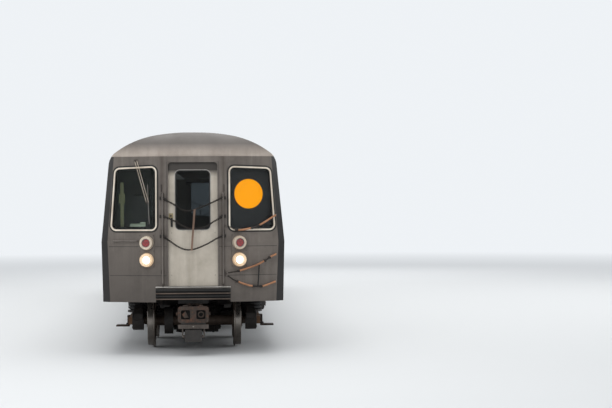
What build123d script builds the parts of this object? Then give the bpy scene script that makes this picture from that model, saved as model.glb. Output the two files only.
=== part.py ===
from build123d import *

import os
from math import atan, atan2, cos, degrees, radians, sin, sqrt, tan

# Metro car for third-rail lines, at its real size in millimetres.
# The front end faces -Y, +X is on the right seen from the front, and +Z is up.
# Z is 0 at the lowest points of the wheel flanges. The rear end is the front end turned half round about Z.

os.makedirs("parts", exist_ok=True)

# Wheels and rail
tread_diameter = 864
flange_height = 28
back_to_back = 1359
wheel_width = 132
axle_diameter = 165
journal_diameter = 130
journal_inner_x = 905
axle_end_x = 1052
bearing_gap = 0.3
moving_gap = 5

rail_z = flange_height
wheel_z = rail_z + tread_diameter / 2

# Body outline, heights over the rail
sill_z = rail_z + 856
floor_z = rail_z + 1110
belt_z = rail_z + 1850
eaves_z = rail_z + 3133
sill_half_width = 1500
body_half_width = 1524
eaves_half_width = 1399
corner_radius = 280
corner_end_angle = 37.3
shoulder_radius = 1580
crown_lift = 30

# Lengths
coupled_length = 22860
truck_centres = 16460
truck_wheelbase = 2083
face_setback = 180
cap_length = 725
side_wall_setback = 450

# Walls and sheets
wall_thickness = 120
skin_thickness = 30
lining_thickness = 40
roof_thickness = 60
cap_thickness = 50
floor_thickness = 40
ceiling_thickness = 25
glass_thickness = 12
glass_inset = 16

# Side doorways and windows
doorway_pitch = 5180
doorway_width = 1270
doorway_height = 1905
leaf_thickness = 36
leaf_gap = 6
leaf_overlap = 27
leaf_travel = 615
leaf_floor_gap = 8
pocket_depth = 700
leaf_window_width = 400
leaf_window_sill = 930
leaf_window_height = 850
leaf_glass_room = 2
window_sill = 900
window_height = 800
bay_window_width = 1100
bay_window_pitch = 1180
end_window_width = 700
cab_window_width = 560
window_corner = 90
flute_count = 9
flute_pitch = 66
flute_depth = 12
flute_width = 40
flute_floor = 26
flute_margin = 55
cantrail_height = 175

# Door tracks over the side doorways
track_width = 22
track_height = 20
track_drop = 55
track_slot_height = 85
roller_diameter = 24
hanger_thickness = 12
hanger_width = 60

# End wall
end_wall_thickness = 90
crease_half_width = 430
sweep_angle = 16
post_top_width = 82
post_base_width = 117
post_setback = 95
cap_seam_z = rail_z + 3265
end_door_half_width = 407
end_door_top_z = rail_z + 3165
end_door_base_z = rail_z + 1122
end_stop_depth = 50
end_leaf_overlap = 20
end_leaf_thickness = 40
end_leaf_edge_gap = 6
end_leaf_window_half = 283
end_leaf_window_base_z = rail_z + 2057
end_leaf_window_top_z = rail_z + 3030
end_leaf_window_corner = 70
end_window_inner_x = 615
end_window_top_x = 1272
end_window_base_x = 1345
end_window_top_z = rail_z + 3080
end_window_drop = 25
end_window_base_z = rail_z + 2060
end_window_corner = 75
rim_width = 26
rim_height = 14
hinge_barrel_radius = 11
hinge_barrel_length = 90
hinge_offset = 12
hinge_heights = (300, 1030, 1760)
hinge_seam = 0.3
hinge_plate_width = 34
seam_gap = 0.3

# Cap over the end
cap_ledge = 25
cap_drop_length = 650

# Lamps on the swept panels
lamp_x = 760
marker_z = rail_z + 1836
headlamp_z = rail_z + 1554
lamp_ring_radius = 116
lamp_lens_radius = 74
lamp_depth = 62
lamp_plate_width = 262
lamp_plate_low_z = rail_z + 1421
lamp_plate_top_z = rail_z + 1986
lamp_plate_thickness = 10
lamp_lens_seat = 22
lamp_lens_thickness = 20

# Route sign behind the right window
sign_depth = 60
sign_margin = 30
sign_disc_x = 949
sign_disc_z = rail_z + 2642
sign_disc_radius = 245
sign_disc_thickness = 3

# Chains, springs and fittings on the face
post_x = 500
post_radius = 14
post_standoff = 45
post_low_z = rail_z + 1150
post_top_z = rail_z + 2650
chain_radius = 9
strap_width = 32
strap_thickness = 4
spring_bar_radius = 14
spring_standoff = 60
anchor_radius = 10
grab_radius = 12
grab_standoff = 50
grab_z = rail_z + 1870
grab_inner_x = 925
grab_outer_x = 1324
grab_bracket_xs = (992, 1291)
wiper_pivot = (938, rail_z + 3195)
wiper_joint = (746, rail_z + 2506)
wiper_arm_gap = 34
wiper_arm_radius = 6
wiper_box = 64
wiper_box_depth = 32
wiper_blade_x = 725
wiper_blade_low_z = rail_z + 2152
wiper_blade_top_z = rail_z + 2799
wiper_blade_width = 16

# Anticlimber
anticlimber_half_width = 615
anticlimber_low_z = rail_z + 906
anticlimber_top_z = rail_z + 1064
anticlimber_reach = 110
anticlimber_core_reach = 62
rib_thickness = 18
rib_count = 4
step_thickness = 16
step_reach = 95

# Coupler
coupler_z = rail_z + 662
coupler_head_width = 506
coupler_head_height = 264
coupler_head_depth = 300
coupler_pocket_width = 150
coupler_pocket_height = 150
coupler_pocket_depth = 70
drawbar_radius = 85
drawbar_pivot_y = 9900
draft_sill_half_width = 250
draft_sill_low_z = rail_z + 830
electric_head_width = 280
electric_head_low_z = rail_z + 214
electric_head_top_z = rail_z + 410
electric_head_depth = 260
hanger_bar_height = 28

# Underframe
sill_width = 60
bearer_low_z = rail_z + 960
bearer_width = 90
bearer_pitch = 1295
bolster_low_z = rail_z + 890
bolster_width = 560
centre_plate_radius = 210
centre_plate_low_z = rail_z + 858
centre_sill_half = 160
end_sill_width = 180

# Inside
ceiling_drop = 55
light_x = 560
light_width = 240
light_drop = 28
light_length = 19600
partition_y = 10050
partition_thickness = 40
cab_door_half = 400
cab_door_height = 1930
seat_door_gap = 60
pole_radius = 16
pole_setback = 540
pole_inset = 40
rail_drop = 160
console_middle_x = 880
console_width = 700
console_front_y = -10870
console_depth = 280
seat_knee_room = 60

# Trucks
frame_x = 980
frame_width = 150
frame_bend = 45
axle_box_inner_x = 890
axle_box_outer_x = 1076
transom_half_width = 180
brake_inner_x = 722
brake_outer_x = 800
brake_shoe_radius = 442
brake_shoe_thickness = 48
brake_shoe_height = 330
brake_unit_y = 330
shoe_bracket_depth = 14
axle_box_radius = 165
bolster_beam_half_length = 1150
bolster_beam_width = 380
bolster_beam_top_z = centre_plate_low_z - bearing_gap
bolster_beam_low_z = rail_z + 706
spring_seat_z = rail_z + 556
spring_radius = 235
motor_radius = 245
motor_length = 750
motor_x = -45
motor_offset = 520
gearbox_x = 450
gearbox_width = 150
gearbox_radius = 235
pinion_radius = 150
shoe_beam_thickness = 60
shoe_beam_height = 130
shoe_z = rail_z + 265
shoe_reach_x = 1420

front_y = -coupled_length / 2
face_y = front_y + face_setback
cap_front_y = face_y + cap_ledge
cap_back_y = face_y + cap_length
side_end_y = face_y + side_wall_setback
wall_base_z = floor_z - floor_thickness
truck_y = truck_centres / 2
doorway_ys = [doorway_pitch * step for step in (-1.5, -0.5, 0.5, 1.5)]
doorway_top_z = floor_z + doorway_height
cantrail_top_z = doorway_top_z + cantrail_height

# Section arcs: corner, shoulder and crown, each tangent to the next
lean = atan2(body_half_width - eaves_half_width, eaves_z - belt_z)
corner_x = eaves_half_width - corner_radius * cos(lean)
corner_z = eaves_z - corner_radius * sin(lean)
corner_end = radians(90 - corner_end_angle)
shoulder_x = corner_x + (corner_radius - shoulder_radius) * cos(corner_end)
shoulder_z = corner_z + (corner_radius - shoulder_radius) * sin(corner_end)
crown_angle = 2 * atan(crown_lift / shoulder_x)
crown_radius = shoulder_radius + shoulder_x / sin(crown_angle)
crown_z = shoulder_z - (crown_radius - shoulder_radius) * cos(crown_angle)
roof_z = crown_z + crown_radius


def side_x(z, inset=0):
    """Half width of the body at height z, moved in by inset."""
    if z <= belt_z:
        share = (z - sill_z) / (belt_z - sill_z)
        belt_half = body_half_width - inset / cos(lean)
        return (sill_half_width - inset) * (1 - share) + belt_half * share
    if z <= corner_z + (corner_radius - inset) * sin(lean):
        return body_half_width - (z - belt_z) * tan(lean) - inset / cos(lean)
    return corner_x + sqrt((corner_radius - inset) ** 2 - (z - corner_z) ** 2)


def body_section(inset):
    """The body's whole cross section, moved in by inset, flat in XY with Y up."""
    radius = corner_radius - inset
    belt = (body_half_width - inset / cos(lean), belt_z)
    eaves = (corner_x + radius * cos(lean), corner_z + radius * sin(lean))
    with BuildSketch(mode=Mode.PRIVATE) as section:
        with BuildLine():
            side = Polyline((0, sill_z), (sill_half_width - inset, sill_z), belt, eaves)
            CenterArc(
                (corner_x, corner_z), radius, degrees(lean), degrees(corner_end - lean)
            )
            CenterArc(
                (shoulder_x, shoulder_z),
                shoulder_radius - inset,
                degrees(corner_end),
                corner_end_angle - degrees(crown_angle),
            )
            crown = CenterArc(
                (0, crown_z), crown_radius - inset, 90 - degrees(crown_angle), degrees(crown_angle)
            )
            Line(crown @ 1, side @ 0)
        make_face()
        mirror(about=Plane.YZ)
    return section.sketch


def band(outer, inner, low_z, high_z):
    """The +X strip of the section between two insets and two heights."""
    with BuildSketch(mode=Mode.PRIVATE) as strip:
        add(body_section(outer))
        add(body_section(inner), mode=Mode.SUBTRACT)
        with Locations((body_half_width / 2 + wall_thickness, (low_z + high_z) / 2)):
            Rectangle(body_half_width, high_z - low_z, mode=Mode.INTERSECT)
    return strip.sketch


def station(y):
    """The plane across the car at y, with its own X along X and its own Y up."""
    return Plane(origin=(0, y, 0), x_dir=(1, 0, 0), z_dir=(0, -1, 0))


def block(low, high, mode=Mode.ADD):
    """A box between two corners."""
    size = [b - a for a, b in zip(low, high)]
    middle = [(a + b) / 2 for a, b in zip(low, high)]
    with Locations(tuple(middle)):
        Box(*size, mode=mode)


def finish_part(part, label):
    """Labels a piece and writes its file."""
    part.label = label
    export_step(part, f"parts/{label}.step")


# Side walls: bays between the doorways, hollow at each end for the leaves
bay_starts = [side_end_y] + [y + doorway_width / 2 for y in doorway_ys]
bay_ends = [y - doorway_width / 2 for y in doorway_ys] + [-side_end_y]
pocket_outer = skin_thickness
pocket_inner = wall_thickness - lining_thickness
window_base_z = floor_z + window_sill
window_mid_z = window_base_z + window_height / 2
end_window_y = doorway_ys[3] + doorway_width / 2 + pocket_depth + end_window_width / 2 + 60
cab_window_y = -side_end_y - cab_window_width / 2 - 90
mid_bay_ys = [doorway_pitch * step for step in (-1, 0, 1)]
window_table = [(y + side * bay_window_pitch / 2, bay_window_width) for y in mid_bay_ys for side in (-1, 1)]
window_table += [(side * end_window_y, end_window_width) for side in (-1, 1)]
window_table += [(side * cab_window_y, cab_window_width) for side in (-1, 1)]

with BuildPart() as side_wall:
    for low_y, high_y in zip(bay_starts, bay_ends):
        with BuildSketch(station((low_y + high_y) / 2)):
            add(band(0, wall_thickness, wall_base_z, doorway_top_z))
        extrude(amount=(high_y - low_y) / 2, both=True)
    for y in doorway_ys:
        with BuildSketch(station(y)):
            add(band(pocket_outer, pocket_inner, floor_z, doorway_top_z))
        extrude(amount=doorway_width / 2 + pocket_depth, both=True, mode=Mode.SUBTRACT)
    with BuildSketch(Plane.YZ.offset(eaves_half_width - wall_thickness)):
        for y, width in window_table:
            with Locations((y, window_mid_z)):
                RectangleRounded(width, window_height, window_corner)
    extrude(amount=body_half_width, mode=Mode.SUBTRACT)
    with BuildSketch(station(0)):
        for step in range(flute_count):
            z = wall_base_z + flute_margin + (step + 0.5) * flute_pitch
            x = side_x(z)
            with BuildLine():
                Polyline(
                    (x + 1, z - flute_width / 2),
                    (x - flute_depth, z - flute_floor / 2),
                    (x - flute_depth, z + flute_floor / 2),
                    (x + 1, z + flute_width / 2),
                    close=True,
                )
            make_face()
    extrude(amount=-side_end_y, both=True, mode=Mode.SUBTRACT)
finish_part(side_wall.part, "side_wall_right")

with BuildPart() as side_wall_left:
    mirror(side_wall.part, about=Plane.YZ)
finish_part(side_wall_left.part, "side_wall_left")

# Glass of the side windows, both sides
with BuildPart() as side_glazing:
    with BuildSketch(Plane.YZ.offset(eaves_half_width - wall_thickness)):
        for y, width in window_table:
            with Locations((y, window_mid_z)):
                RectangleRounded(width, window_height, window_corner)
    extrude(amount=body_half_width)
    with BuildSketch(station(0)):
        add(band(glass_inset, glass_inset + glass_thickness, floor_z, doorway_top_z))
    extrude(amount=-side_end_y, both=True, mode=Mode.INTERSECT)
    mirror(about=Plane.YZ)
finish_part(side_glazing.part, "side_glazing")

# Cant rails with a slot and a track over each doorway
track_z = doorway_top_z + track_drop - track_height
slot_inner = pocket_inner + 4
with BuildPart() as cantrails:
    with BuildSketch(station(0)):
        add(band(0, wall_thickness, doorway_top_z, cantrail_top_z))
    extrude(amount=-side_end_y, both=True)
    for y in doorway_ys:
        with BuildSketch(station(y)):
            add(band(pocket_outer, slot_inner, doorway_top_z, doorway_top_z + track_slot_height))
        extrude(amount=doorway_width / 2 + pocket_depth, both=True, mode=Mode.SUBTRACT)
    for y in doorway_ys:
        with BuildSketch(station(y)):
            add(band(slot_inner - track_width, slot_inner + 1, track_z, track_z + track_height))
        extrude(amount=doorway_width / 2 + pocket_depth, both=True)
    mirror(about=Plane.YZ)
finish_part(cantrails.part, "cantrails")

# Roof shell
with BuildPart() as roof:
    with BuildSketch(station(0)):
        add(body_section(0))
        add(body_section(roof_thickness), mode=Mode.SUBTRACT)
        with Locations((0, (cantrail_top_z + roof_z) / 2)):
            Rectangle(2 * body_half_width, roof_z - cantrail_top_z, mode=Mode.INTERSECT)
    extrude(amount=-cap_back_y, both=True)
finish_part(roof.part, "roof")

# Domed caps over the ends
cap_plan_half = side_x(cap_seam_z)
cap_sagitta = (cap_plan_half - crease_half_width) * tan(radians(sweep_angle))
cap_plan_radius = (cap_plan_half**2 + cap_sagitta**2) / (2 * cap_sagitta)
cap_axis_y = cap_front_y + cap_plan_radius


def cap_solid(inset):
    """The dome over one end, moved in by inset, down to the seam."""
    reach = cap_plan_radius - inset
    flat = reach - cap_drop_length + inset
    top = roof_z - inset
    with BuildPart(mode=Mode.PRIVATE) as dome:
        with BuildSketch(Plane.XZ):
            with BuildLine():
                base = Line((0, cap_seam_z), (reach, cap_seam_z))
                drop = EllipticalCenterArc(
                    (flat, cap_seam_z), reach - flat, top - cap_seam_z, start_angle=0, arc_size=90
                )
                Polyline(drop @ 1, (0, top), base @ 0)
            make_face()
        revolve(axis=Axis.Z, revolution_arc=360)
    with BuildPart(mode=Mode.PRIVATE) as cap:
        with Locations((0, cap_axis_y, 0)):
            add(dome.part)
        with BuildSketch(station((cap_front_y + cap_back_y) / 2)):
            add(body_section(inset))
            with Locations((0, (cap_seam_z + roof_z) / 2)):
                Rectangle(2 * body_half_width, roof_z - cap_seam_z, mode=Mode.INTERSECT)
        extrude(amount=(cap_back_y - cap_front_y) / 2, both=True, mode=Mode.INTERSECT)
    return cap.part


with BuildPart() as roof_caps:
    add(cap_solid(0))
    add(cap_solid(cap_thickness), mode=Mode.SUBTRACT)
    add(roof_caps.part, rotation=(0, 0, 180))
finish_part(roof_caps.part, "roof_caps")

# End walls: swept window panels with leaning corner posts, a door header and a door sill
panel_turn = radians(sweep_angle)
post_end_y = side_end_y - post_setback + 15


def sweep_y(x, inward=0):
    """Y of the front end's swept panel at a distance x from the middle, moved in by inward."""
    return face_y + (x - crease_half_width) * tan(panel_turn) + inward / cos(panel_turn)


def post_width(z):
    """Width of the corner post, which narrows towards the eaves."""
    share = (z - wall_base_z) / (eaves_z - wall_base_z)
    return post_base_width + (post_top_width - post_base_width) * share


def end_plan(z, half_width):
    """Plan outline of the right half of the front end at a height, as a wire."""
    crease_x = half_width - post_width(z)
    inner_x = half_width - wall_thickness
    inner_crease_x = crease_half_width - end_wall_thickness * tan(panel_turn / 2)
    with BuildSketch(Plane.XY.offset(z), mode=Mode.PRIVATE) as plan:
        with BuildLine():
            Polyline(
                (end_door_half_width, face_y),
                (crease_half_width, face_y),
                (crease_x, sweep_y(crease_x)),
                (half_width, post_end_y),
                (half_width, side_end_y),
                (inner_x, side_end_y),
                (inner_x, sweep_y(inner_x, end_wall_thickness)),
                (inner_crease_x, face_y + end_wall_thickness),
                (end_door_half_width, face_y + end_wall_thickness),
                close=True,
            )
        make_face()
    return plan.sketch


def lean_x(z):
    """Half width on the straight side line at height z, without the corner arc."""
    return body_half_width - (z - belt_z) * tan(lean)


def panel_plane(x, z, out=0, side=1):
    """A plane on the front end's swept panel, facing out, with its own Y up."""
    across = Vector(cos(panel_turn), side * sin(panel_turn), 0)
    normal = Vector(side * sin(panel_turn), -cos(panel_turn), 0)
    foot = Vector(side * x, sweep_y(x), z) + normal * out
    return Plane(origin=foot, x_dir=across, z_dir=normal)


def end_window_outline(grow=0):
    """The window's outline on the right swept panel, about the inner bottom corner of the glass."""
    top_width = (end_window_top_x - end_window_inner_x) / cos(panel_turn)
    base_width = (end_window_base_x - end_window_inner_x) / cos(panel_turn)
    height = end_window_top_z - end_window_base_z
    with BuildSketch(mode=Mode.PRIVATE) as outline:
        with BuildLine():
            Polyline(
                (0, 0), (base_width, 0), (top_width, height - end_window_drop), (0, height), close=True
            )
        make_face()
        fillet(outline.vertices(), end_window_corner)
        if grow:
            offset(amount=grow)
    return outline.sketch


window_plane = panel_plane(end_window_inner_x, end_window_base_z)
hinge_x = end_door_half_width + end_leaf_overlap + end_leaf_edge_gap / 2
leaf_face_y = face_y + end_stop_depth + moving_gap
leaf_back_y = leaf_face_y + end_leaf_thickness
hinge_y = leaf_back_y + hinge_offset


def hinge_leaf(height, side):
    """A hinge barrel with its plate, on the leaf for side -1 and on the wall for side 1."""
    low_z = end_door_base_z + height - hinge_barrel_length / 2
    plate_y = leaf_back_y if side < 0 else face_y + end_wall_thickness
    low_x, high_x = sorted((hinge_x, hinge_x + side * hinge_plate_width))
    with BuildPart(mode=Mode.PRIVATE) as leaf:
        with Locations((hinge_x, hinge_y, low_z + hinge_barrel_length / 2)):
            Cylinder(hinge_barrel_radius, hinge_barrel_length)
        block((low_x, plate_y, low_z), (high_x, hinge_y, low_z + hinge_barrel_length))
    return leaf.part


with BuildPart() as end_panel:
    with BuildPart(mode=Mode.PRIVATE) as lower:
        add(end_plan(sill_z, sill_half_width))
        add(end_plan(belt_z, body_half_width))
        loft(ruled=True)
    with BuildPart(mode=Mode.PRIVATE) as upper:
        add(end_plan(belt_z, body_half_width))
        add(end_plan(cap_seam_z, lean_x(cap_seam_z)))
        loft(ruled=True)
    add(lower.part)
    add(upper.part)
    with BuildSketch(station((face_y + side_end_y) / 2)):
        add(body_section(0))
    extrude(amount=side_wall_setback, both=True, mode=Mode.INTERSECT)
    block((0, face_y - 1, sill_z), (anticlimber_half_width, side_end_y, anticlimber_low_z), Mode.SUBTRACT)
    rebate_x = end_door_half_width + end_leaf_overlap + end_leaf_edge_gap
    rebate_top = end_door_top_z + end_leaf_overlap + end_leaf_edge_gap
    block((0, face_y + end_stop_depth, floor_z), (rebate_x, side_end_y, rebate_top), Mode.SUBTRACT)
    with BuildSketch(window_plane):
        add(end_window_outline())
    extrude(amount=end_wall_thickness * 2, both=True, mode=Mode.SUBTRACT)

header_x = end_door_half_width - seam_gap
with BuildPart() as end_wall:
    add(end_panel.part)
    add(end_panel.part.mirror(Plane.YZ))
    for height in hinge_heights:
        for step in (-1, 1):
            add(hinge_leaf(height + step * (hinge_barrel_length + hinge_seam), 1))
    block((-header_x, face_y, end_door_top_z), (header_x, face_y + end_stop_depth, cap_seam_z))
    block(
        (-header_x, face_y + end_stop_depth, rebate_top),
        (header_x, face_y + end_wall_thickness, cap_seam_z),
    )
    block(
        (-header_x, face_y, anticlimber_low_z),
        (header_x, face_y + end_wall_thickness, floor_z),
    )
half_turn = Rot(0, 0, 180)


def both_ends(part, label):
    """Writes a piece of the front end together with its copy on the rear end."""
    with BuildPart() as pair:
        add(part)
        add(half_turn * part)
    finish_part(pair.part, label)


both_ends(end_wall.part, "end_walls")

# End windows: glass and cream rims
with BuildPart() as end_glass:
    with BuildSketch(window_plane.offset(-glass_inset)):
        add(end_window_outline())
    extrude(amount=-glass_thickness)
    mirror(about=Plane.YZ)
both_ends(end_glass.part, "end_glazing")

with BuildPart() as end_rims:
    with BuildSketch(window_plane):
        add(end_window_outline(rim_width))
        add(end_window_outline(), mode=Mode.SUBTRACT)
    extrude(amount=rim_height)
    fillet(end_rims.edges().group_by(Axis((0, 0, 0), tuple(window_plane.z_dir)))[-1], rim_height / 3)
    mirror(about=Plane.YZ)
both_ends(end_rims.part, "end_window_rims")

# End doors: a leaf on three hinges, with its glass and a handle
leaf_half = end_door_half_width + end_leaf_overlap
leaf_top_z = end_door_top_z + end_leaf_overlap
leaf_window_z = (end_leaf_window_base_z + end_leaf_window_top_z) / 2
leaf_window_size = (2 * end_leaf_window_half, end_leaf_window_top_z - end_leaf_window_base_z)
handle_z = rail_z + 2119
with BuildPart() as end_door:
    block((-leaf_half, leaf_face_y, end_door_base_z), (leaf_half, leaf_back_y, leaf_top_z))
    with BuildSketch(station(leaf_face_y)):
        with Locations((0, leaf_window_z)):
            RectangleRounded(*leaf_window_size, end_leaf_window_corner)
    extrude(amount=-end_leaf_thickness, mode=Mode.SUBTRACT)
    for height in hinge_heights:
        add(hinge_leaf(height, -1))
    block(
        (-end_door_half_width + 40, leaf_face_y - 22, handle_z - 20),
        (-end_door_half_width + 75, leaf_face_y, handle_z + 130),
    )
    block(
        (-end_door_half_width + 45, leaf_face_y - 45, handle_z - 10),
        (-end_door_half_width + 70, leaf_face_y - 22, handle_z + 15),
    )
    with BuildSketch(station(leaf_face_y + glass_inset)):
        with Locations((0, leaf_window_z)):
            RectangleRounded(
                leaf_window_size[0] - 2 * seam_gap, leaf_window_size[1] - 2 * seam_gap, end_leaf_window_corner
            )
    extrude(amount=-glass_thickness)
finish_part(end_door.part, "end_door_front")
finish_part(half_turn * end_door.part, "end_door_rear")

# Lamps: back plates with ringed housings, and their lenses
with BuildPart() as lamp_plates:
    with BuildSketch(panel_plane(lamp_x, (lamp_plate_low_z + lamp_plate_top_z) / 2)):
        RectangleRounded(lamp_plate_width, lamp_plate_top_z - lamp_plate_low_z, lamp_plate_width / 3)
    extrude(amount=lamp_plate_thickness)
    for z in (marker_z, headlamp_z):
        with BuildSketch(panel_plane(lamp_x, z, lamp_plate_thickness)):
            Circle(lamp_ring_radius)
        extrude(amount=lamp_depth, taper=8)
        with BuildSketch(panel_plane(lamp_x, z, lamp_plate_thickness + lamp_depth)):
            Circle(lamp_lens_radius)
        extrude(amount=-lamp_depth + lamp_lens_seat, taper=6, mode=Mode.SUBTRACT)
    mirror(about=Plane.YZ)
both_ends(lamp_plates.part, "lamp_housings")

with BuildPart() as lenses:
    for z in (marker_z, headlamp_z):
        with Locations(panel_plane(lamp_x, z, lamp_plate_thickness + lamp_lens_seat)):
            Cylinder(
                lamp_lens_radius * 0.85,
                lamp_lens_thickness,
                align=(Align.CENTER, Align.CENTER, Align.MIN),
            )
    mirror(about=Plane.YZ)
both_ends(lenses.part, "lamp_lenses")

# Route sign: a box behind the right window, with a blank disc on its curtain
sign_setback = end_wall_thickness + seam_gap
with BuildPart() as route_sign:
    with BuildSketch(window_plane.offset(-sign_setback)):
        add(end_window_outline(sign_margin))
    extrude(amount=-sign_depth)
    with Locations(panel_plane(sign_disc_x, sign_disc_z, -sign_setback)):
        Cylinder(
            sign_disc_radius, sign_disc_thickness, align=(Align.CENTER, Align.CENTER, Align.MIN)
        )
both_ends(route_sign.part, "route_signs")

# Anticlimber with its ribs and the step plate over it


def plate_plan(reach):
    """Plan of a plate that stands out from the face and fits against the swept panels."""
    back_y = sweep_y(anticlimber_half_width)
    with BuildSketch(mode=Mode.PRIVATE) as plan:
        with BuildLine():
            Polyline(
                (-anticlimber_half_width, face_y - reach),
                (anticlimber_half_width, face_y - reach),
                (anticlimber_half_width, back_y),
                (crease_half_width, face_y),
                (-crease_half_width, face_y),
                (-anticlimber_half_width, back_y),
                close=True,
            )
        make_face()
    return plan.sketch


rib_pitch = (anticlimber_top_z - anticlimber_low_z - rib_thickness) / (rib_count - 1)
with BuildPart() as anticlimber:
    with BuildSketch(Plane.XY.offset(anticlimber_low_z)):
        add(plate_plan(anticlimber_core_reach))
    extrude(amount=anticlimber_top_z - anticlimber_low_z)
    for step in range(rib_count):
        with BuildSketch(Plane.XY.offset(anticlimber_low_z + step * rib_pitch)):
            add(plate_plan(anticlimber_reach))
        extrude(amount=rib_thickness)
    with BuildSketch(Plane.XY.offset(anticlimber_top_z)):
        add(plate_plan(step_reach))
    extrude(amount=step_thickness)
both_ends(anticlimber.part, "anticlimbers")

# Coupler: cast head with two pockets, drawbar and pivot
coupler_back_y = front_y + coupler_head_depth
with BuildPart() as coupler:
    with BuildSketch(station(front_y)):
        with Locations((0, coupler_z)):
            RectangleRounded(coupler_head_width, coupler_head_height, 45)
    extrude(amount=-coupler_head_depth * 0.45)
    with BuildSketch(station(front_y + coupler_head_depth * 0.45)):
        with Locations((0, coupler_z)):
            RectangleRounded(coupler_head_width, coupler_head_height, 45)
    with BuildSketch(station(coupler_back_y)):
        with Locations((0, coupler_z)):
            RectangleRounded(2.4 * drawbar_radius, 2.2 * drawbar_radius, 45)
    loft()
    with BuildSketch(station(coupler_back_y)):
        with Locations((0, coupler_z)):
            Circle(drawbar_radius)
    extrude(amount=-(-drawbar_pivot_y - coupler_back_y))
    with BuildSketch(station(front_y)):
        with Locations((-coupler_head_width / 4, coupler_z), (coupler_head_width / 4, coupler_z)):
            RectangleRounded(coupler_pocket_width, coupler_pocket_height, 22)
    extrude(amount=-coupler_pocket_depth, taper=8, mode=Mode.SUBTRACT)
    with Locations((0, -drawbar_pivot_y, (coupler_z - drawbar_radius + draft_sill_low_z) / 2)):
        Cylinder(1.5 * drawbar_radius, draft_sill_low_z - coupler_z + drawbar_radius)
both_ends(coupler.part, "couplers")

electric_front_y = front_y + 20
bar_low_z = coupler_z - coupler_head_height / 2 - hanger_bar_height
with BuildPart() as electric_head:
    with BuildSketch(station(electric_front_y)):
        with Locations((0, (electric_head_low_z + electric_head_top_z) / 2)):
            RectangleRounded(electric_head_width, electric_head_top_z - electric_head_low_z, 25)
    extrude(amount=-electric_head_depth)
    block(
        (-coupler_head_width * 0.4, electric_front_y + 20, bar_low_z),
        (coupler_head_width * 0.4, electric_front_y + 100, bar_low_z + hanger_bar_height),
    )
    for side in (-1, 1):
        x = side * electric_head_width * 0.32
        block((x - 16, electric_front_y + 40, electric_head_top_z - 5), (x + 16, electric_front_y + 80, bar_low_z + 5))
both_ends(electric_head.part, "electric_heads")



def path_radii(points):
    """Radii of the bends of a bar's path, each as large as its two runs allow."""
    radii = []
    for before, here, after in zip(points, points[1:], points[2:]):
        run_in = Vector(*here) - Vector(*before)
        run_out = Vector(*after) - Vector(*here)
        half_turn_angle = radians(run_in.get_angle(run_out)) / 2
        radii.append(0.45 * min(run_in.length, run_out.length) / tan(half_turn_angle))
    return radii


def bar(points, radius, bends=None):
    """A round bar along straight runs joined by tangent arcs."""
    with BuildPart(mode=Mode.PRIVATE) as piece:
        with BuildLine() as route:
            if len(points) > 2:
                FilletPolyline(*points, radius=bends or path_radii(points))
            else:
                Line(*points)
        wire = route.wire()
        with BuildSketch(Plane(origin=wire @ 0, z_dir=wire % 0)):
            Circle(radius)
        sweep(path=wire)
    return piece.part


def on_panel(x, z, out, side=1):
    """The point that stands out from the swept panel by out, at x from the middle and at height z."""
    return tuple(panel_plane(x - out * sin(panel_turn), z, out, side).origin)


def panel_block(x, z, width, height, depth, out=0, side=1):
    """A box that sits flat on the swept panel."""
    with BuildSketch(panel_plane(x, z, out, side), mode=Mode.PRIVATE) as face:
        Rectangle(width, height)
    extrude(face.sketch, amount=depth)


# Chain posts beside the end door, a grab bar and spring anchors
post_y = on_panel(post_x, post_low_z, post_standoff)[1]
post_foot_x = post_x - post_standoff * sin(panel_turn)
near_anchors = ((556, rail_z + 2115), (556, rail_z + 1338), (556, rail_z + 1300))
corner_anchors = ((1383, rail_z + 2290), (1392, rail_z + 1640), (1375, rail_z + 1185))


def post(side):
    """A chain post on two feet."""
    points = [
        on_panel(post_foot_x, post_low_z, 0, side),
        on_panel(post_x, post_low_z, post_standoff, side),
        on_panel(post_x, post_top_z, post_standoff, side),
        on_panel(post_foot_x, post_top_z, 0, side),
    ]
    return bar(points, post_radius, [2 * post_radius, 2 * post_radius])


grab_points = [
    on_panel(grab_inner_x - grab_standoff * sin(panel_turn), grab_z, 0, -1),
    on_panel(grab_inner_x, grab_z, grab_standoff, -1),
    on_panel(grab_outer_x, grab_z, grab_standoff, -1),
    on_panel(grab_outer_x - grab_standoff * sin(panel_turn), grab_z, 0, -1),
]
with BuildPart() as end_grabs:
    for side in (-1, 1):
        add(post(side))
    add(bar(grab_points, grab_radius, [2 * grab_radius, 2 * grab_radius]))
    for x, z in near_anchors + corner_anchors:
        with Locations(panel_plane(x - spring_standoff * sin(panel_turn), z)):
            Cylinder(
                anchor_radius,
                spring_standoff + anchor_radius,
                align=(Align.CENTER, Align.CENTER, Align.MIN),
            )
both_ends(end_grabs.part, "end_grabs")

# Wiper on the left window, parked upright
wiper_out = rim_height + 14
with BuildPart() as wiper:
    panel_block(*wiper_pivot, wiper_box, wiper_box, wiper_box_depth, 0, -1)
    for side in (-1, 1):
        add(
            bar(
                [
                    on_panel(wiper_pivot[0] + side * wiper_arm_gap / 2, wiper_pivot[1], wiper_out, -1),
                    on_panel(wiper_joint[0] + side * wiper_arm_gap / 2, wiper_joint[1], wiper_out, -1),
                ],
                wiper_arm_radius,
            )
        )
    panel_block(*wiper_joint, 2.2 * wiper_arm_gap, 30, 14, wiper_out - 7, -1)
    blade_z = (wiper_blade_low_z + wiper_blade_top_z) / 2
    blade_height = wiper_blade_top_z - wiper_blade_low_z
    blade_out = seam_gap - glass_inset
    panel_block(wiper_blade_x, blade_z, wiper_blade_width, blade_height, wiper_out - blade_out, blade_out, -1)
both_ends(wiper.part, "wipers")

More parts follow.
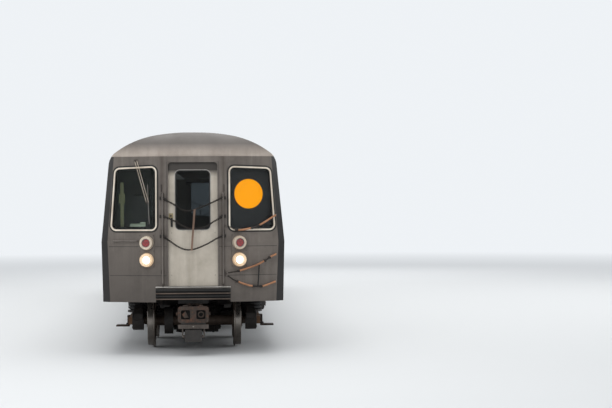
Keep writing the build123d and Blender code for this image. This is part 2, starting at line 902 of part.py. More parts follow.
# Safety chains across the end door, joined by a strap. Columns: x, height over the rail.
upper_chain = ((-277, 2451), (-178, 2378), (-28, 2366), (121, 2418), (287, 2484))
middle_chain = ((-394, 2240), (-261, 2177), (-161, 2114), (-12, 2069), (204, 2102), (337, 2180))
lower_chain = ((-394, 1880), (-244, 1775), (-111, 1725), (38, 1737), (238, 1819), (390, 1905))
chain_table = ((2567, upper_chain, 2584), (2280, middle_chain, 2268), (1945, lower_chain, 1950))
strap_route = ((30, 2385), (5, 2060), (-22, 1715))
strap_y = post_y - chain_radius - seam_gap


def end_x(x, height, inner, half, radius):
    """X of a bar's end beside what holds it at x, so that the slanted end face just clears it."""
    clear = half + seam_gap
    slope = atan2(abs(height - inner[1]), abs(x - inner[0]) - clear - radius / 2)
    reach = clear + radius * sin(slope)
    return x + reach if inner[0] > x else x - reach


with BuildPart() as chains:
    for left_height, inner, right_height in chain_table:
        left_x = end_x(-post_x, left_height, inner[0], post_radius, chain_radius)
        right_x = end_x(post_x, right_height, inner[-1], post_radius, chain_radius)
        points = [(left_x, post_y, rail_z + left_height)]
        points += [(x, post_y, rail_z + height) for x, height in inner]
        points += [(right_x, post_y, rail_z + right_height)]
        add(bar(points, chain_radius))
    with BuildSketch(station(strap_y)):
        with BuildLine():
            left_edge = [(x - strap_width / 2, rail_z + height) for x, height in strap_route]
            right_edge = [(x + strap_width / 2, rail_z + height) for x, height in reversed(strap_route)]
            Polyline(*left_edge, *right_edge, close=True)
        make_face()
    extrude(amount=strap_thickness)
both_ends(chains.part, "safety_chains")

# Barrier springs on the right window panel. Columns: x, height over the rail.
upper_spring = ((719, 2044), (836, 2049), (952, 2072), (1051, 2098), (1201, 2177), (1284, 2232))
middle_spring = ((786, 1376), (902, 1410), (1035, 1454), (1151, 1509), (1218, 1548), (1284, 1592))
lower_spring = ((669, 1222), (836, 1152), (952, 1118), (1118, 1104), (1220, 1128))
link_top = (1093, 1440)
link_low = (1070, 1125)
with BuildPart() as springs:
    for inner, near, far in zip((upper_spring, middle_spring, lower_spring), near_anchors, corner_anchors):
        near_x = end_x(near[0], near[1] - rail_z, inner[0], anchor_radius, spring_bar_radius)
        far_x = end_x(far[0], far[1] - rail_z, inner[-1], anchor_radius, spring_bar_radius)
        points = [on_panel(near_x, near[1], spring_standoff)]
        points += [on_panel(x, rail_z + height, spring_standoff) for x, height in inner]
        points += [on_panel(far_x, far[1], spring_standoff)]
        add(bar(points, spring_bar_radius))
    add(
        bar(
            [
                on_panel(link_low[0], rail_z + link_low[1], spring_standoff),
                on_panel(link_top[0], rail_z + link_top[1], spring_standoff),
            ],
            spring_bar_radius / 2,
        )
    )
both_ends(springs.part, "barrier_springs")

# Side door leaves, hung from rollers on the track over the doorway
leaf_width = doorway_width / 2 - leaf_gap / 2 + leaf_overlap
leaf_inset = (pocket_outer + pocket_inner - leaf_thickness) / 2
leaf_base_z = floor_z + leaf_floor_gap
leaf_head_z = doorway_top_z - moving_gap
leaf_window_mid_z = floor_z + leaf_window_sill + leaf_window_height / 2
roller_z = track_z + track_height + bearing_gap + roller_diameter / 2
hanger_outer_x = side_x(roller_z, leaf_inset)
roller_outer_x = hanger_outer_x - hanger_thickness / 2
roller_inner_x = side_x(roller_z, slot_inner - moving_gap)
roller_length = roller_outer_x - roller_inner_x
hanger_top_z = roller_z + roller_diameter / 2
leaf_middle = leaf_gap / 2 + leaf_width / 2


def leaf_window(grow=0):
    """The window opening of a leaf, drawn on a plane along the car."""
    with Locations((leaf_middle, leaf_window_mid_z)):
        RectangleRounded(leaf_window_width + grow, leaf_window_height + grow, window_corner / 2)


with BuildPart() as leaf_panel:
    with BuildSketch(station(leaf_middle)):
        add(band(leaf_inset, leaf_inset + leaf_thickness, leaf_base_z, leaf_head_z))
    extrude(amount=leaf_width / 2, both=True)
    with BuildSketch(Plane.YZ.offset(eaves_half_width - wall_thickness)):
        leaf_window()
    extrude(amount=body_half_width, mode=Mode.SUBTRACT)
    for side in (-1, 1):
        hanger_y = leaf_middle + side * leaf_width * 0.3
        block(
            (hanger_outer_x - hanger_thickness, hanger_y - hanger_width / 2, leaf_head_z),
            (hanger_outer_x, hanger_y + hanger_width / 2, hanger_top_z),
        )
        with Locations(Location(((roller_outer_x + roller_inner_x) / 2, hanger_y, roller_z), (0, 90, 0))):
            Cylinder(roller_diameter / 2, roller_length)

leaf_glass_plane = Plane(
    origin=(side_x(leaf_window_mid_z, leaf_inset + glass_thickness), leaf_middle, leaf_window_mid_z),
    x_dir=(0, 1, 0),
    z_dir=(cos(lean), 0, sin(lean)),
)
with BuildPart() as leaf_glass:
    with BuildSketch(leaf_glass_plane):
        RectangleRounded(
            leaf_window_width - 2 * seam_gap,
            leaf_window_height - leaf_glass_room,
            window_corner / 2,
        )
    extrude(amount=-glass_thickness)

for number, y in enumerate(doorway_ys, 1):
    for side_name in ("right", "left"):
        for leaf_name in ("fore", "aft"):
            with BuildPart() as leaf:
                for piece in (leaf_panel.part, leaf_glass.part):
                    piece = piece if leaf_name == "aft" else piece.mirror(Plane.XZ)
                    piece = piece if side_name == "right" else piece.mirror(Plane.YZ)
                    add(Pos(0, y, 0) * piece)
            finish_part(leaf.part, f"door_{side_name}_{number}_{leaf_name}")

# Floor with a tongue into each doorway and its ends fitted to the end walls
floor_half = side_x(floor_z - floor_thickness, wall_thickness)
tongue_half = side_x(floor_z - floor_thickness, skin_thickness)
floor_end_y = face_y + end_wall_thickness + seam_gap


def end_platform(z, inboard_y):
    """Plan of the space inside the front end wall at a height, from inboard_y to the wall."""
    corner = side_x(z, wall_thickness) - seam_gap
    with BuildSketch(mode=Mode.PRIVATE) as plan:
        with BuildLine():
            Polyline(
                (0, inboard_y),
                (corner, inboard_y),
                (corner, sweep_y(corner, end_wall_thickness + seam_gap)),
                (end_door_half_width, floor_end_y),
                (0, floor_end_y),
                close=True,
            )
        make_face()
        mirror(about=Plane.YZ)
    return plan.sketch


with BuildPart() as floor:
    with BuildSketch(Plane.XY.offset(floor_z - floor_thickness)):
        Rectangle(2 * floor_half, -2 * side_end_y)
        for y in doorway_ys:
            with Locations((0, y)):
                Rectangle(2 * tongue_half, doorway_width - 2 * seam_gap)
        platform = end_platform(floor_z - floor_thickness, side_end_y)
        add(platform)
        add(platform.rotate(Axis.Z, 180))
    extrude(amount=floor_thickness)
finish_part(floor.part, "floor")

# Ceiling with two light troughs
ceiling_z = cantrail_top_z - ceiling_drop
ceiling_end_y = partition_y + partition_thickness / 2
ceiling_half = side_x(ceiling_z + ceiling_thickness, wall_thickness) - seam_gap
with BuildPart() as ceiling:
    block((-ceiling_half, -ceiling_end_y, ceiling_z), (ceiling_half, ceiling_end_y, ceiling_z + ceiling_thickness))
    for side in (-1, 1):
        with BuildSketch(station(0)):
            with Locations((side * light_x, ceiling_z)):
                RectangleRounded(light_width, 2 * light_drop, light_drop * 0.8)
        extrude(amount=light_length / 2, both=True)
finish_part(ceiling.part, "ceiling")

# Underframe: side sills, end sills, cross bearers, bolsters, draft sills and centre plates
bearer_top_z = floor_z - floor_thickness
bearer_half = side_x(sill_z, sill_width / 2)
bearer_ys = [bearer_pitch * step for step in range(-5, 6)]
with BuildPart() as underframe:
    with BuildSketch(station(0)):
        add(band(0, sill_width, sill_z, wall_base_z))
    extrude(amount=-side_end_y, both=True)
    mirror(about=Plane.YZ)
    for y in bearer_ys:
        block(
            (-bearer_half, y - bearer_width / 2, bearer_low_z),
            (bearer_half, y + bearer_width / 2, bearer_top_z),
        )
    for side in (-1, 1):
        block(
            (-bearer_half, side * truck_y - bolster_width / 2, bolster_low_z),
            (bearer_half, side * truck_y + bolster_width / 2, bearer_top_z),
        )
        with Locations((0, side * truck_y, centre_plate_low_z)):
            Cylinder(
                centre_plate_radius,
                bolster_low_z - centre_plate_low_z,
                align=(Align.CENTER, Align.CENTER, Align.MIN),
            )
        low_y, high_y = sorted((side * (truck_y + bolster_width / 2), side * -floor_end_y))
        block(
            (-draft_sill_half_width, low_y, draft_sill_low_z),
            (draft_sill_half_width, high_y, bearer_top_z),
        )
    with BuildSketch(Plane.XY.offset(bearer_low_z)):
        platform = end_platform(bearer_low_z, side_end_y + end_sill_width)
        add(platform)
        add(platform.rotate(Axis.Z, 180))
    extrude(amount=bearer_top_z - bearer_low_z)
    for side in (-1, 1):
        low_y, high_y = sorted((side * (side_end_y + end_sill_width), side * (side_end_y + seam_gap)))
        block((-bearer_half, low_y, bearer_low_z), (bearer_half, high_y, bearer_top_z))
    block(
        (-centre_sill_half, -truck_y, bearer_low_z),
        (centre_sill_half, truck_y, bearer_top_z),
    )
finish_part(underframe.part, "underframe")

# Equipment under the floor, hung from the bearers
with BuildPart() as battery_box:
    block((-1330, -5100, rail_z + 380), (-380, -3300, bearer_low_z))
    fillet(battery_box.edges().filter_by(Axis.Y).group_by(Axis.Z)[0], 40)
finish_part(battery_box.part, "battery_box")

with BuildPart() as control_box:
    block((330, -5100, rail_z + 350), (1350, -1500, bearer_low_z))
    fillet(control_box.edges().filter_by(Axis.Y).group_by(Axis.Z)[0], 60)
    for step in range(5):
        y = -4900 + step * 660
        block((1350, y, rail_z + 420), (1362, y + 600, bearer_low_z - 60))
finish_part(control_box.part, "control_box")

with BuildPart() as air_supply:
    with Locations(Location((-860, -1300, rail_z + 640), (90, 0, 0))):
        Cylinder(240, 620)
        Cylinder(150, 1150)
    block((-1060, -1560, rail_z + 740), (-660, -1040, bearer_low_z))
    block((-1100, -1000, rail_z + 470), (-620, -700, bearer_low_z))
    for x in (-1120, -640):
        for y in (1600, 3400):
            with Locations(Location((x, y, rail_z + 700), (90, 0, 0))):
                Cylinder(190, 1300)
            for side in (-1, 1):
                band_y = y + side * 420
                block((x - 200, band_y - 30, rail_z + 700), (x + 200, band_y + 30, bearer_low_z))
finish_part(air_supply.part, "air_supply")

with BuildPart() as resistor_grid:
    for x in (420, 1340):
        block((x - 12, 1250, rail_z + 420), (x + 12, 4900, bearer_low_z))
    for y in (1250, 3063, 4876):
        block((420, y, rail_z + 420), (1340, y + 24, bearer_low_z))
    for z in (rail_z + 480, rail_z + 640, rail_z + 800):
        for step in range(18):
            y = 1320 + step * 96
            block((432, y, z), (1328, y + 30, z + 110))
finish_part(resistor_grid.part, "resistor_grid")

# Wheelsets: axle and wheels turned together
wheel_inner_x = back_to_back / 2
wheel_outer_x = wheel_inner_x + wheel_width
tread_radius = tread_diameter / 2
flange_radius = tread_radius + flange_height
axle_radius = axle_diameter / 2
journal_radius = journal_diameter / 2
axle_ys = [end * truck_y + side * truck_wheelbase / 2 for end in (-1, 1) for side in (-1, 1)]
axle_ys.sort()
with BuildPart() as wheelset:
    with BuildSketch(Plane.XY):
        with BuildLine():
            Polyline(
                (0, 0),
                (axle_end_x, 0),
                (axle_end_x, journal_radius),
                (journal_inner_x - 60, journal_radius),
                (journal_inner_x - 70, axle_radius),
                (wheel_outer_x + 14, axle_radius + 8),
                (wheel_outer_x + 14, 140),
                (wheel_outer_x - 34, 155),
                (wheel_outer_x - 62, tread_radius - 80),
                (wheel_outer_x, tread_radius - 62),
                (wheel_outer_x, tread_radius - 8),
                (wheel_outer_x - 8, tread_radius - 1),
                (wheel_inner_x + 36, tread_radius + 4),
                (wheel_inner_x + 27, flange_radius - 6),
                (wheel_inner_x + 18, flange_radius),
                (wheel_inner_x + 10, flange_radius - 4),
                (wheel_inner_x, tread_radius - 4),
                (wheel_inner_x, tread_radius - 66),
                (wheel_outer_x - 90, tread_radius - 84),
                (wheel_outer_x - 66, 158),
                (wheel_inner_x - 20, 140),
                (wheel_inner_x - 20, axle_radius + 8),
                (0, axle_radius),
                close=True,
            )
        make_face()
    revolve(axis=Axis.X)
    mirror(about=Plane.YZ)
wheelset_names = ("front_truck_fore", "front_truck_aft", "rear_truck_fore", "rear_truck_aft")
for name, y in zip(wheelset_names, axle_ys):
    with BuildPart() as placed:
        add(Pos(0, y, wheel_z) * wheelset.part)
    finish_part(placed.part, f"wheelset_{name}")

# Trucks, drawn about their own centre and then placed
wheel_offset = truck_wheelbase / 2


def both_trucks(part, label):
    """Writes a piece of the truck for the front truck and, turned half round, for the rear one."""
    finish_part(Pos(0, -truck_y, 0) * part, f"{label}_front")
    finish_part(Pos(0, truck_y, 0) * (half_turn * part), f"{label}_rear")


# H frame with axle boxes, spring seats and tread brakes. Columns: y, height over the rail.
frame_top = ((1230, 560), (1120, 655), (760, 700), (430, spring_seat_z - rail_z))
frame_low = ((430, 330), (760, 352), (960, 420), (1230, 440))
with BuildPart() as truck_frame:
    with BuildSketch(Plane.YZ.offset(frame_x)):
        with BuildLine():
            upper = [(y, rail_z + height) for y, height in frame_top]
            lower = [(y, rail_z + height) for y, height in frame_low]
            Polyline(
                *[(-y, z) for y, z in upper],
                *upper[::-1],
                *lower[::-1],
                *[(-y, z) for y, z in lower],
                close=True,
            )
        make_face()
    extrude(amount=frame_width / 2, both=True)
    fillet(truck_frame.edges().filter_by(Axis.X), frame_bend)
    for y in (-wheel_offset, wheel_offset):
        with Locations(Location(((axle_box_inner_x + axle_box_outer_x) / 2, y, wheel_z), (0, 90, 0))):
            Cylinder(axle_box_radius, axle_box_outer_x - axle_box_inner_x)
    with Locations((frame_x, 0, spring_seat_z)):
        Cylinder(spring_radius, 36, align=(Align.CENTER, Align.CENTER, Align.MAX))
    for y in (-wheel_offset, wheel_offset):
        bore_end = axle_end_x + moving_gap
        bore_middle = (axle_box_inner_x + bore_end) / 2
        with Locations(Location((bore_middle, y, wheel_z), (0, 90, 0))):
            Cylinder(journal_radius + bearing_gap, bore_end - axle_box_inner_x, mode=Mode.SUBTRACT)
    for side in (-1, 1):
        centre = (side * wheel_offset, wheel_z)
        with BuildSketch(Plane.YZ.offset(brake_inner_x)):
            with Locations(centre):
                Circle(brake_shoe_radius + brake_shoe_thickness)
                Circle(brake_shoe_radius, mode=Mode.SUBTRACT)
            with Locations((centre[0] - side * brake_shoe_radius, wheel_z)):
                Rectangle(2 * brake_shoe_thickness, brake_shoe_height, mode=Mode.INTERSECT)
        extrude(amount=brake_outer_x - brake_inner_x)
        shoe_back = wheel_offset - brake_shoe_radius - brake_shoe_thickness + 6
        low_y, high_y = sorted((side * brake_unit_y, side * shoe_back))
        block((brake_inner_x, low_y, wheel_z - 60), (brake_outer_x, high_y, wheel_z + 60))
        low_y, high_y = sorted((side * brake_unit_y, side * (brake_unit_y + 90)))
        block((brake_outer_x - 5, low_y, wheel_z - 45), (frame_x, high_y, wheel_z + 45))
    mirror(about=Plane.YZ)
    block(
        (-frame_x, -transom_half_width, rail_z + 430),
        (frame_x, transom_half_width, rail_z + 530),
    )
both_trucks(truck_frame.part, "truck_frame")

# Bolster beam on two air springs
with BuildPart() as truck_bolster:
    with BuildSketch(Plane.XZ):
        with BuildLine():
            Polyline(
                (-bolster_beam_half_length, bolster_beam_low_z),
                (-bolster_beam_half_length, bolster_beam_low_z + 60),
                (-620, bolster_beam_top_z - 28),
                (-centre_plate_radius - 30, bolster_beam_top_z),
                (centre_plate_radius + 30, bolster_beam_top_z),
                (620, bolster_beam_top_z - 28),
                (bolster_beam_half_length, bolster_beam_low_z + 60),
                (bolster_beam_half_length, bolster_beam_low_z),
                (500, bolster_beam_low_z - 60),
                (-500, bolster_beam_low_z - 60),
                close=True,
            )
        make_face()
    extrude(amount=bolster_beam_width / 2, both=True)
    with BuildSketch(Plane.XZ):
        with BuildLine():
            bellows_height = bolster_beam_low_z - spring_seat_z
            Polyline(
                (frame_x, spring_seat_z),
                (frame_x + spring_radius * 0.7, spring_seat_z),
                (frame_x + spring_radius * 0.96, spring_seat_z + bellows_height * 0.2),
                (frame_x + spring_radius * 0.96, spring_seat_z + bellows_height * 0.36),
                (frame_x + spring_radius * 0.8, spring_seat_z + bellows_height * 0.5),
                (frame_x + spring_radius * 0.96, spring_seat_z + bellows_height * 0.64),
                (frame_x + spring_radius * 0.96, spring_seat_z + bellows_height * 0.8),
                (frame_x + spring_radius * 0.7, bolster_beam_low_z),
                (frame_x, bolster_beam_low_z),
                close=True,
            )
        make_face()
    revolve(axis=Axis((frame_x, 0, 0), (0, 0, 1)))
    mirror(about=Plane.YZ)
both_trucks(truck_bolster.part, "truck_bolster")

# Motors with gearboxes, one for each axle
gearbox_bore = axle_radius + 8 + moving_gap
with BuildPart() as motor:
    with Locations(Location((motor_x, wheel_offset - motor_offset, wheel_z), (0, 90, 0))):
        Cylinder(motor_radius, motor_length)
        Cylinder(motor_radius * 0.82, motor_length + 80)
    with Locations(Location((gearbox_x - 60, wheel_offset - motor_offset, wheel_z), (0, 90, 0))):
        Cylinder(70, 200)
    with BuildSketch(Plane.YZ.offset(gearbox_x)):
        with Locations((wheel_offset, wheel_z)):
            Circle(gearbox_radius)
        with Locations((wheel_offset - motor_offset, wheel_z)):
            Circle(pinion_radius)
        make_hull()
        with Locations((wheel_offset, wheel_z)):
            Circle(gearbox_bore, mode=Mode.SUBTRACT)
    extrude(amount=gearbox_width / 2, both=True)
    block(
        (motor_x - 150, transom_half_width + seam_gap, wheel_z - 40),
        (motor_x + 150, wheel_offset - motor_offset, wheel_z + 60),
    )
with BuildPart() as truck_motors:
    add(motor.part)
    add(half_turn * motor.part)
both_trucks(truck_motors.part, "truck_motors")

# Contact shoe beams with their shoes
shoe_beam_low_x = axle_box_outer_x + shoe_bracket_depth
with BuildPart() as shoe_gear:
    block(
        (shoe_beam_low_x, -wheel_offset - 90, wheel_z - shoe_beam_height / 2),
        (shoe_beam_low_x + shoe_beam_thickness, wheel_offset + 90, wheel_z + shoe_beam_height / 2),
    )
    for y in (-wheel_offset, wheel_offset):
        with Locations(Location((axle_box_outer_x, y, wheel_z), (0, 90, 0))):
            Cylinder(
                shoe_beam_height / 2,
                shoe_bracket_depth,
                align=(Align.CENTER, Align.CENTER, Align.MIN),
            )
    shoe_root_x = shoe_beam_low_x + shoe_beam_thickness
    block((shoe_root_x, -110, wheel_z - 90), (shoe_root_x + 70, 110, wheel_z + 30))
    block((shoe_root_x + 30, -60, shoe_z), (shoe_root_x + 70, 60, wheel_z - 90))
    block((shoe_root_x + 30, -130, shoe_z), (shoe_reach_x, 130, shoe_z + 25))
    mirror(about=Plane.YZ)
both_trucks(shoe_gear.part, "shoe_gear")

# Seats along the walls between the doorways. Columns: distance in from the wall, height over the floor.
seat_profile = (
    (0, 0),
    (380, 0),
    (400, 370),
    (495, 395),
    (500, 430),
    (470, 445),
    (150, 415),
    (90, 460),
    (60, 860),
    (0, 870),
)
seat_wall_x = side_x(floor_z, wall_thickness) - 2
seat_end = doorway_width / 2 + seat_door_gap
seat_spans = [(doorway_ys[n] + seat_end, doorway_ys[n + 1] - seat_end) for n in range(3)]
seat_spans.append((doorway_ys[3] + seat_end, partition_y - seat_door_gap))
seat_spans.append((-partition_y + seat_door_gap, doorway_ys[0] - seat_end))
with BuildPart() as seats:
    for low_y, high_y in seat_spans:
        with BuildSketch(station((low_y + high_y) / 2)):
            with BuildLine():
                Polyline(*[(seat_wall_x - x, floor_z + height) for x, height in seat_profile], close=True)
            make_face()
        extrude(amount=(high_y - low_y) / 2, both=True)
    mirror(about=Plane.YZ)
finish_part(seats.part, "seats")

# Stanchions at the seat ends, joined by a rail over each bay
pole_x = seat_wall_x - pole_setback
with BuildPart() as stanchions:
    for low_y, high_y in seat_spans:
        for y in (low_y + pole_inset, high_y - pole_inset):
            with Locations((pole_x, y, floor_z)):
                Cylinder(
                    pole_radius,
                    ceiling_z - floor_z,
                    align=(Align.CENTER, Align.CENTER, Align.MIN),
                )
        with Locations(Location((pole_x, (low_y + high_y) / 2, ceiling_z - rail_drop), (90, 0, 0))):
            Cylinder(pole_radius, high_y - low_y - 2 * (pole_inset + pole_radius + seam_gap))
    mirror(about=Plane.YZ)
finish_part(stanchions.part, "stanchions")

# Cab partitions: two panels and a header across each end of the saloon
with BuildPart() as cab_partition:
    with BuildSketch(station(-partition_y)):
        add(body_section(wall_thickness + seam_gap))
        with Locations((0, (floor_z + ceiling_z) / 2)):
            Rectangle(2 * body_half_width, ceiling_z - floor_z, mode=Mode.INTERSECT)
        with Locations((0, floor_z)):
            Rectangle(
                2 * cab_door_half, 2 * cab_door_height, mode=Mode.SUBTRACT
            )
        for side in (-1, 1):
            with Locations((side * cab_door_half, ceiling_z)):
                Rectangle(
                    2 * seam_gap, 2 * (ceiling_z - floor_z - cab_door_height), mode=Mode.SUBTRACT
                )
    extrude(amount=partition_thickness / 2, both=True)
both_ends(cab_partition.part, "cab_partitions")

# Cab fittings: a console under the left window and the operator's seat
with BuildPart() as cab_fittings:
    with BuildSketch(Plane.YZ.offset(-console_middle_x)):
        with BuildLine():
            Polyline(
                (console_front_y, floor_z),
                (console_front_y, floor_z + 800),
                (console_front_y + 130, floor_z + 780),
                (console_front_y + console_depth, floor_z + 700),
                (console_front_y + console_depth, floor_z + 640),
                (console_front_y + console_depth - 90, floor_z + 600),
                (console_front_y + console_depth - 90, floor_z),
                close=True,
            )
        make_face()
    extrude(amount=console_width / 2, both=True)
    seat_y = console_front_y + console_depth + seat_knee_room
    with Locations((-console_middle_x, seat_y + 200, floor_z)):
        Cylinder(45, 400, align=(Align.CENTER, Align.CENTER, Align.MIN))
    block(
        (-console_middle_x - 200, seat_y, floor_z + 400),
        (-console_middle_x + 200, seat_y + 390, floor_z + 480),
    )
    block(
        (-console_middle_x - 190, seat_y + 330, floor_z + 480),
        (-console_middle_x + 190, seat_y + 390, floor_z + 900),
    )
both_ends(cab_fittings.part, "cab_fittings")
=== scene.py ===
"""Looks of the metro car: materials, small fittings and a studio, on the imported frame. Metres throughout."""

from math import acos, atan2, copysign, cos, hypot, pi, radians, sin, tan

import bpy
from mathutils import Matrix, Vector


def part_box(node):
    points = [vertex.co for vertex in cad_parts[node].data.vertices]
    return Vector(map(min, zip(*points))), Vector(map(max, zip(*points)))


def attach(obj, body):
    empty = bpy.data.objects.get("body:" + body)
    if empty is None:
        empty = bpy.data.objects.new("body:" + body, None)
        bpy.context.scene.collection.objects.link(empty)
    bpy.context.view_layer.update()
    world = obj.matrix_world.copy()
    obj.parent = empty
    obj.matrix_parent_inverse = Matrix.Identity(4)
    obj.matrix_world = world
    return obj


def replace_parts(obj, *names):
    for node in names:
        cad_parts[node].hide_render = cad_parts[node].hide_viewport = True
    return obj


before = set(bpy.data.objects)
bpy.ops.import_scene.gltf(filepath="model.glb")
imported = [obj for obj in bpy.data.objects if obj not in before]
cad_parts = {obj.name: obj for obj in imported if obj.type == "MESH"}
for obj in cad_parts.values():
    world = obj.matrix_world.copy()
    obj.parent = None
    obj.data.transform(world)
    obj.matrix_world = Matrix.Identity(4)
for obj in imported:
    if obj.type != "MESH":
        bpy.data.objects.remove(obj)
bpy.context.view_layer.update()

SIDES = (1, -1)
RAIL = 0.028
FACE_Y = -11.25
COUPLER_Y = -11.43
CREASE = 0.43
TURN = radians(16)
DOOR_YS = (-7.77, -2.59, 2.59, 7.77)
TRUCK_Y = 8.23
AXLE_Y = 1.0415
AXLE_Z = 0.46
MOTOR_Y = 0.5215
BEARER_PITCH = 1.295
FLOOR_Z = RAIL + 1.11
SILL_Z = RAIL + 0.856
BELT_Z = RAIL + 1.85
EAVES_Z = RAIL + 3.133
LEAN = atan2(1.524 - 1.399, EAVES_Z - BELT_Z)
SILL_HALF = 1.5
BELT_HALF = 1.524
LAMP_X = 0.76
TAIL_UP = 1.836
HEAD_UP = 1.554
LAMP_OUT = 0.072
END_LEAF_Y = 11.195
LEAF_Y = 0.3325
LEAF_IN = -0.0372
LEAF_WINDOW = (0.400, 0.850)


# Materials
def srgb(code):
    """Linear colour of an sRGB colour, given as a hexadecimal number."""
    out = []
    for shift in (16, 8, 0):
        value = (code >> shift & 255) / 255
        out.append(value / 12.92 if value <= 0.04045 else ((value + 0.055) / 1.055) ** 2.4)
    return (*out, 1.0)


class Nodes:
    """Short calls for the nodes of a material or of the world."""

    def __init__(self, owner):
        owner.use_nodes = True
        self.tree = owner.node_tree

    def node(self, kind, inputs=(), **settings):
        made = self.tree.nodes.new("ShaderNode" + kind)
        for key, value in settings.items():
            setattr(made, key, value)
        for key, value in dict(inputs).items():
            made.inputs[key].default_value = value
        return made

    def link(self, source, target):
        self.tree.links.new(source, target)

    def math(self, kind, a, b):
        made = self.node("Math", operation=kind)
        for socket, value in zip(made.inputs, (a, b)):
            if isinstance(value, (int, float)):
                socket.default_value = value
            else:
                self.link(value, socket)
        return made.outputs[0]

    def blend(self, share, first, second, end):
        """Sends a mix of two shaders to an output node."""
        mix = self.node("MixShader")
        for source, target in zip((share, first.outputs[0], second.outputs[0]), mix.inputs):
            self.link(source, target)
        self.link(mix.outputs[0], self.tree.nodes[end].inputs["Surface"])


class Shader(Nodes):
    """A Principled material, with calls that add to what it shows so far."""

    def __init__(self, name, color, metallic=0.0, rough=0.5, **sockets):
        self.mat = bpy.data.materials.new(name)
        super().__init__(self.mat)
        self.mat.diffuse_color = color
        self.bsdf = self.tree.nodes["Principled BSDF"]
        for key, value in dict(Base_Color=color, Metallic=metallic, Roughness=rough, **sockets).items():
            self.bsdf.inputs[key.replace("_", " ")].default_value = value
        self.coords = self.node("TexCoord").outputs["Object"]
        self.height = None

    def noise(self, scale, stretch=(1, 1, 1), detail=5.0, rough=0.6):
        """Noise from 0 to 1, in metres, stretched along an axis by a scale below 1."""
        mapping = self.node("Mapping", {"Scale": stretch})
        noise = self.node("TexNoise", {"Scale": scale, "Detail": detail, "Roughness": rough})
        self.link(self.coords, mapping.inputs["Vector"])
        self.link(mapping.outputs["Vector"], noise.inputs["Vector"])
        return noise.outputs["Fac"]

    def ramp(self, source, low, high, out_low=0.0, out_high=1.0):
        """Maps a value from low..high to out_low..out_high, held inside."""
        made = self.node("MapRange", {"From Min": low, "From Max": high, "To Min": out_low, "To Max": out_high})
        self.link(source, made.inputs["Value"])
        return made.outputs["Result"]

    def axis(self, name):
        """A coordinate of the point, in metres."""
        split = self.node("SeparateXYZ")
        self.link(self.coords, split.inputs[0])
        return split.outputs[name]

    def tint(self, factor, color):
        """Mixes a colour over what the base colour is so far."""
        mix = self.node("Mix", data_type="RGBA")
        base = self.bsdf.inputs["Base Color"]
        if base.is_linked:
            self.link(base.links[0].from_socket, mix.inputs["A"])
        else:
            mix.inputs["A"].default_value = base.default_value
        mix.inputs["B"].default_value = color
        self.link(factor, mix.inputs["Factor"])
        self.link(mix.outputs["Result"], base)

    def stain(self, code, source, low, high, strength):
        """Mixes a colour in where a value goes from low to high."""
        self.tint(self.ramp(source, low, high, 0, strength), srgb(code))

    def rough(self, source, low, high):
        self.link(self.ramp(source, 0.3, 0.7, low, high), self.bsdf.inputs["Roughness"])
        return self

    def bump(self, source, distance, strength=1.0):
        made = self.node("Bump", {"Distance": distance, "Strength": strength})
        self.link(source, made.inputs["Height"])
        if self.height:
            self.link(self.height, made.inputs["Normal"])
        self.height = made.outputs["Normal"]
        self.link(self.height, self.bsdf.inputs["Normal"])


def worn(
    name, color, dark, light, metallic=0.0, rough=0.55, streaks=0.6, grain=(1, 1, 1), dirt_z=None, patch=0.75
):
    """A weathered paint or metal: blotches, vertical streaks, fine specks and dirt towards the ground."""
    s = Shader(name, srgb(color), metallic, rough)
    blotch = s.noise(1.7, detail=8.0, rough=0.65)
    s.stain(dark, blotch, 0.42, 0.72, patch)
    s.stain(dark, s.noise(7.0, (1, 1, 0.09), detail=6.0), 0.48, 0.72, streaks)
    s.stain(light, s.noise(11.0, (1, 1, 0.07)), 0.56, 0.8, streaks * 0.8)
    s.stain(dark, s.noise(90.0, detail=2.0), 0.6, 0.75, 0.25)
    if dirt_z:
        height = s.math("ADD", s.axis("Z"), s.math("MULTIPLY", s.noise(3.0), 0.5))
        s.stain(dark, height, dirt_z[1], dirt_z[0], 0.7)
    s.rough(blotch, rough - 0.08, rough + 0.12)
    s.bump(s.noise(55.0, grain, detail=4.0), 0.0006, 0.5)
    return s


end_paint = worn("end_paint", 0x706861, 0x4A443F, 0x8C847A, 0.25, 0.5, 0.5, dirt_z=(1.0, 1.7))
# Painted shade: the corner posts, turned away to the sides, are near black.
corner_post_shade = worn("corner_post_shade", 0x1A1716, 0x110F0E, 0x2A2624, 0.1, 0.6, 0.4)
cap_paint = worn("cap_paint", 0xB2A69B, 0x92867C, 0xCABDB0, 0.15, 0.55, 0.5)
cap_paint.stain(0x4E4945, cap_paint.axis("Z"), RAIL + 3.28, RAIL + 3.48, 0.92)
end_reach = end_paint.math("ABSOLUTE", end_paint.axis("X"), 0.0)
end_run = end_paint.math("ABSOLUTE", end_paint.math("SUBTRACT", end_reach, 0.505), 0.0)
end_run = end_paint.math("ADD", end_run, end_paint.math("MULTIPLY", end_paint.noise(9.0, (1, 1, 0.25)), 0.06))
end_paint.stain(0x3E322A, end_run, 0.075, 0.025, 0.55)
# Painted shade: the lower left of the end face is darkened, where less light falls on that side.
left_shade_ramp = end_paint.ramp(end_paint.axis("X"), 0.2, -0.6)
lower_left_shade = end_paint.math("MULTIPLY", left_shade_ramp, end_paint.ramp(end_paint.axis("Z"), RAIL + 2.0, RAIL + 1.5))
end_paint.tint(end_paint.math("MULTIPLY", lower_left_shade, 0.5), srgb(0x4C4641))
# Painted shade: the recesses behind the end's sheets and the seam lines between the sheets are dark.
recess_shade = worn("recess_shade", 0x302C29, 0x191715, 0x46403C, 0.1, 0.6)
door_paint = worn("end_door_paint", 0xC0B7A9, 0x968C7D, 0xD4CDC0, 0.0, 0.5, 0.45)
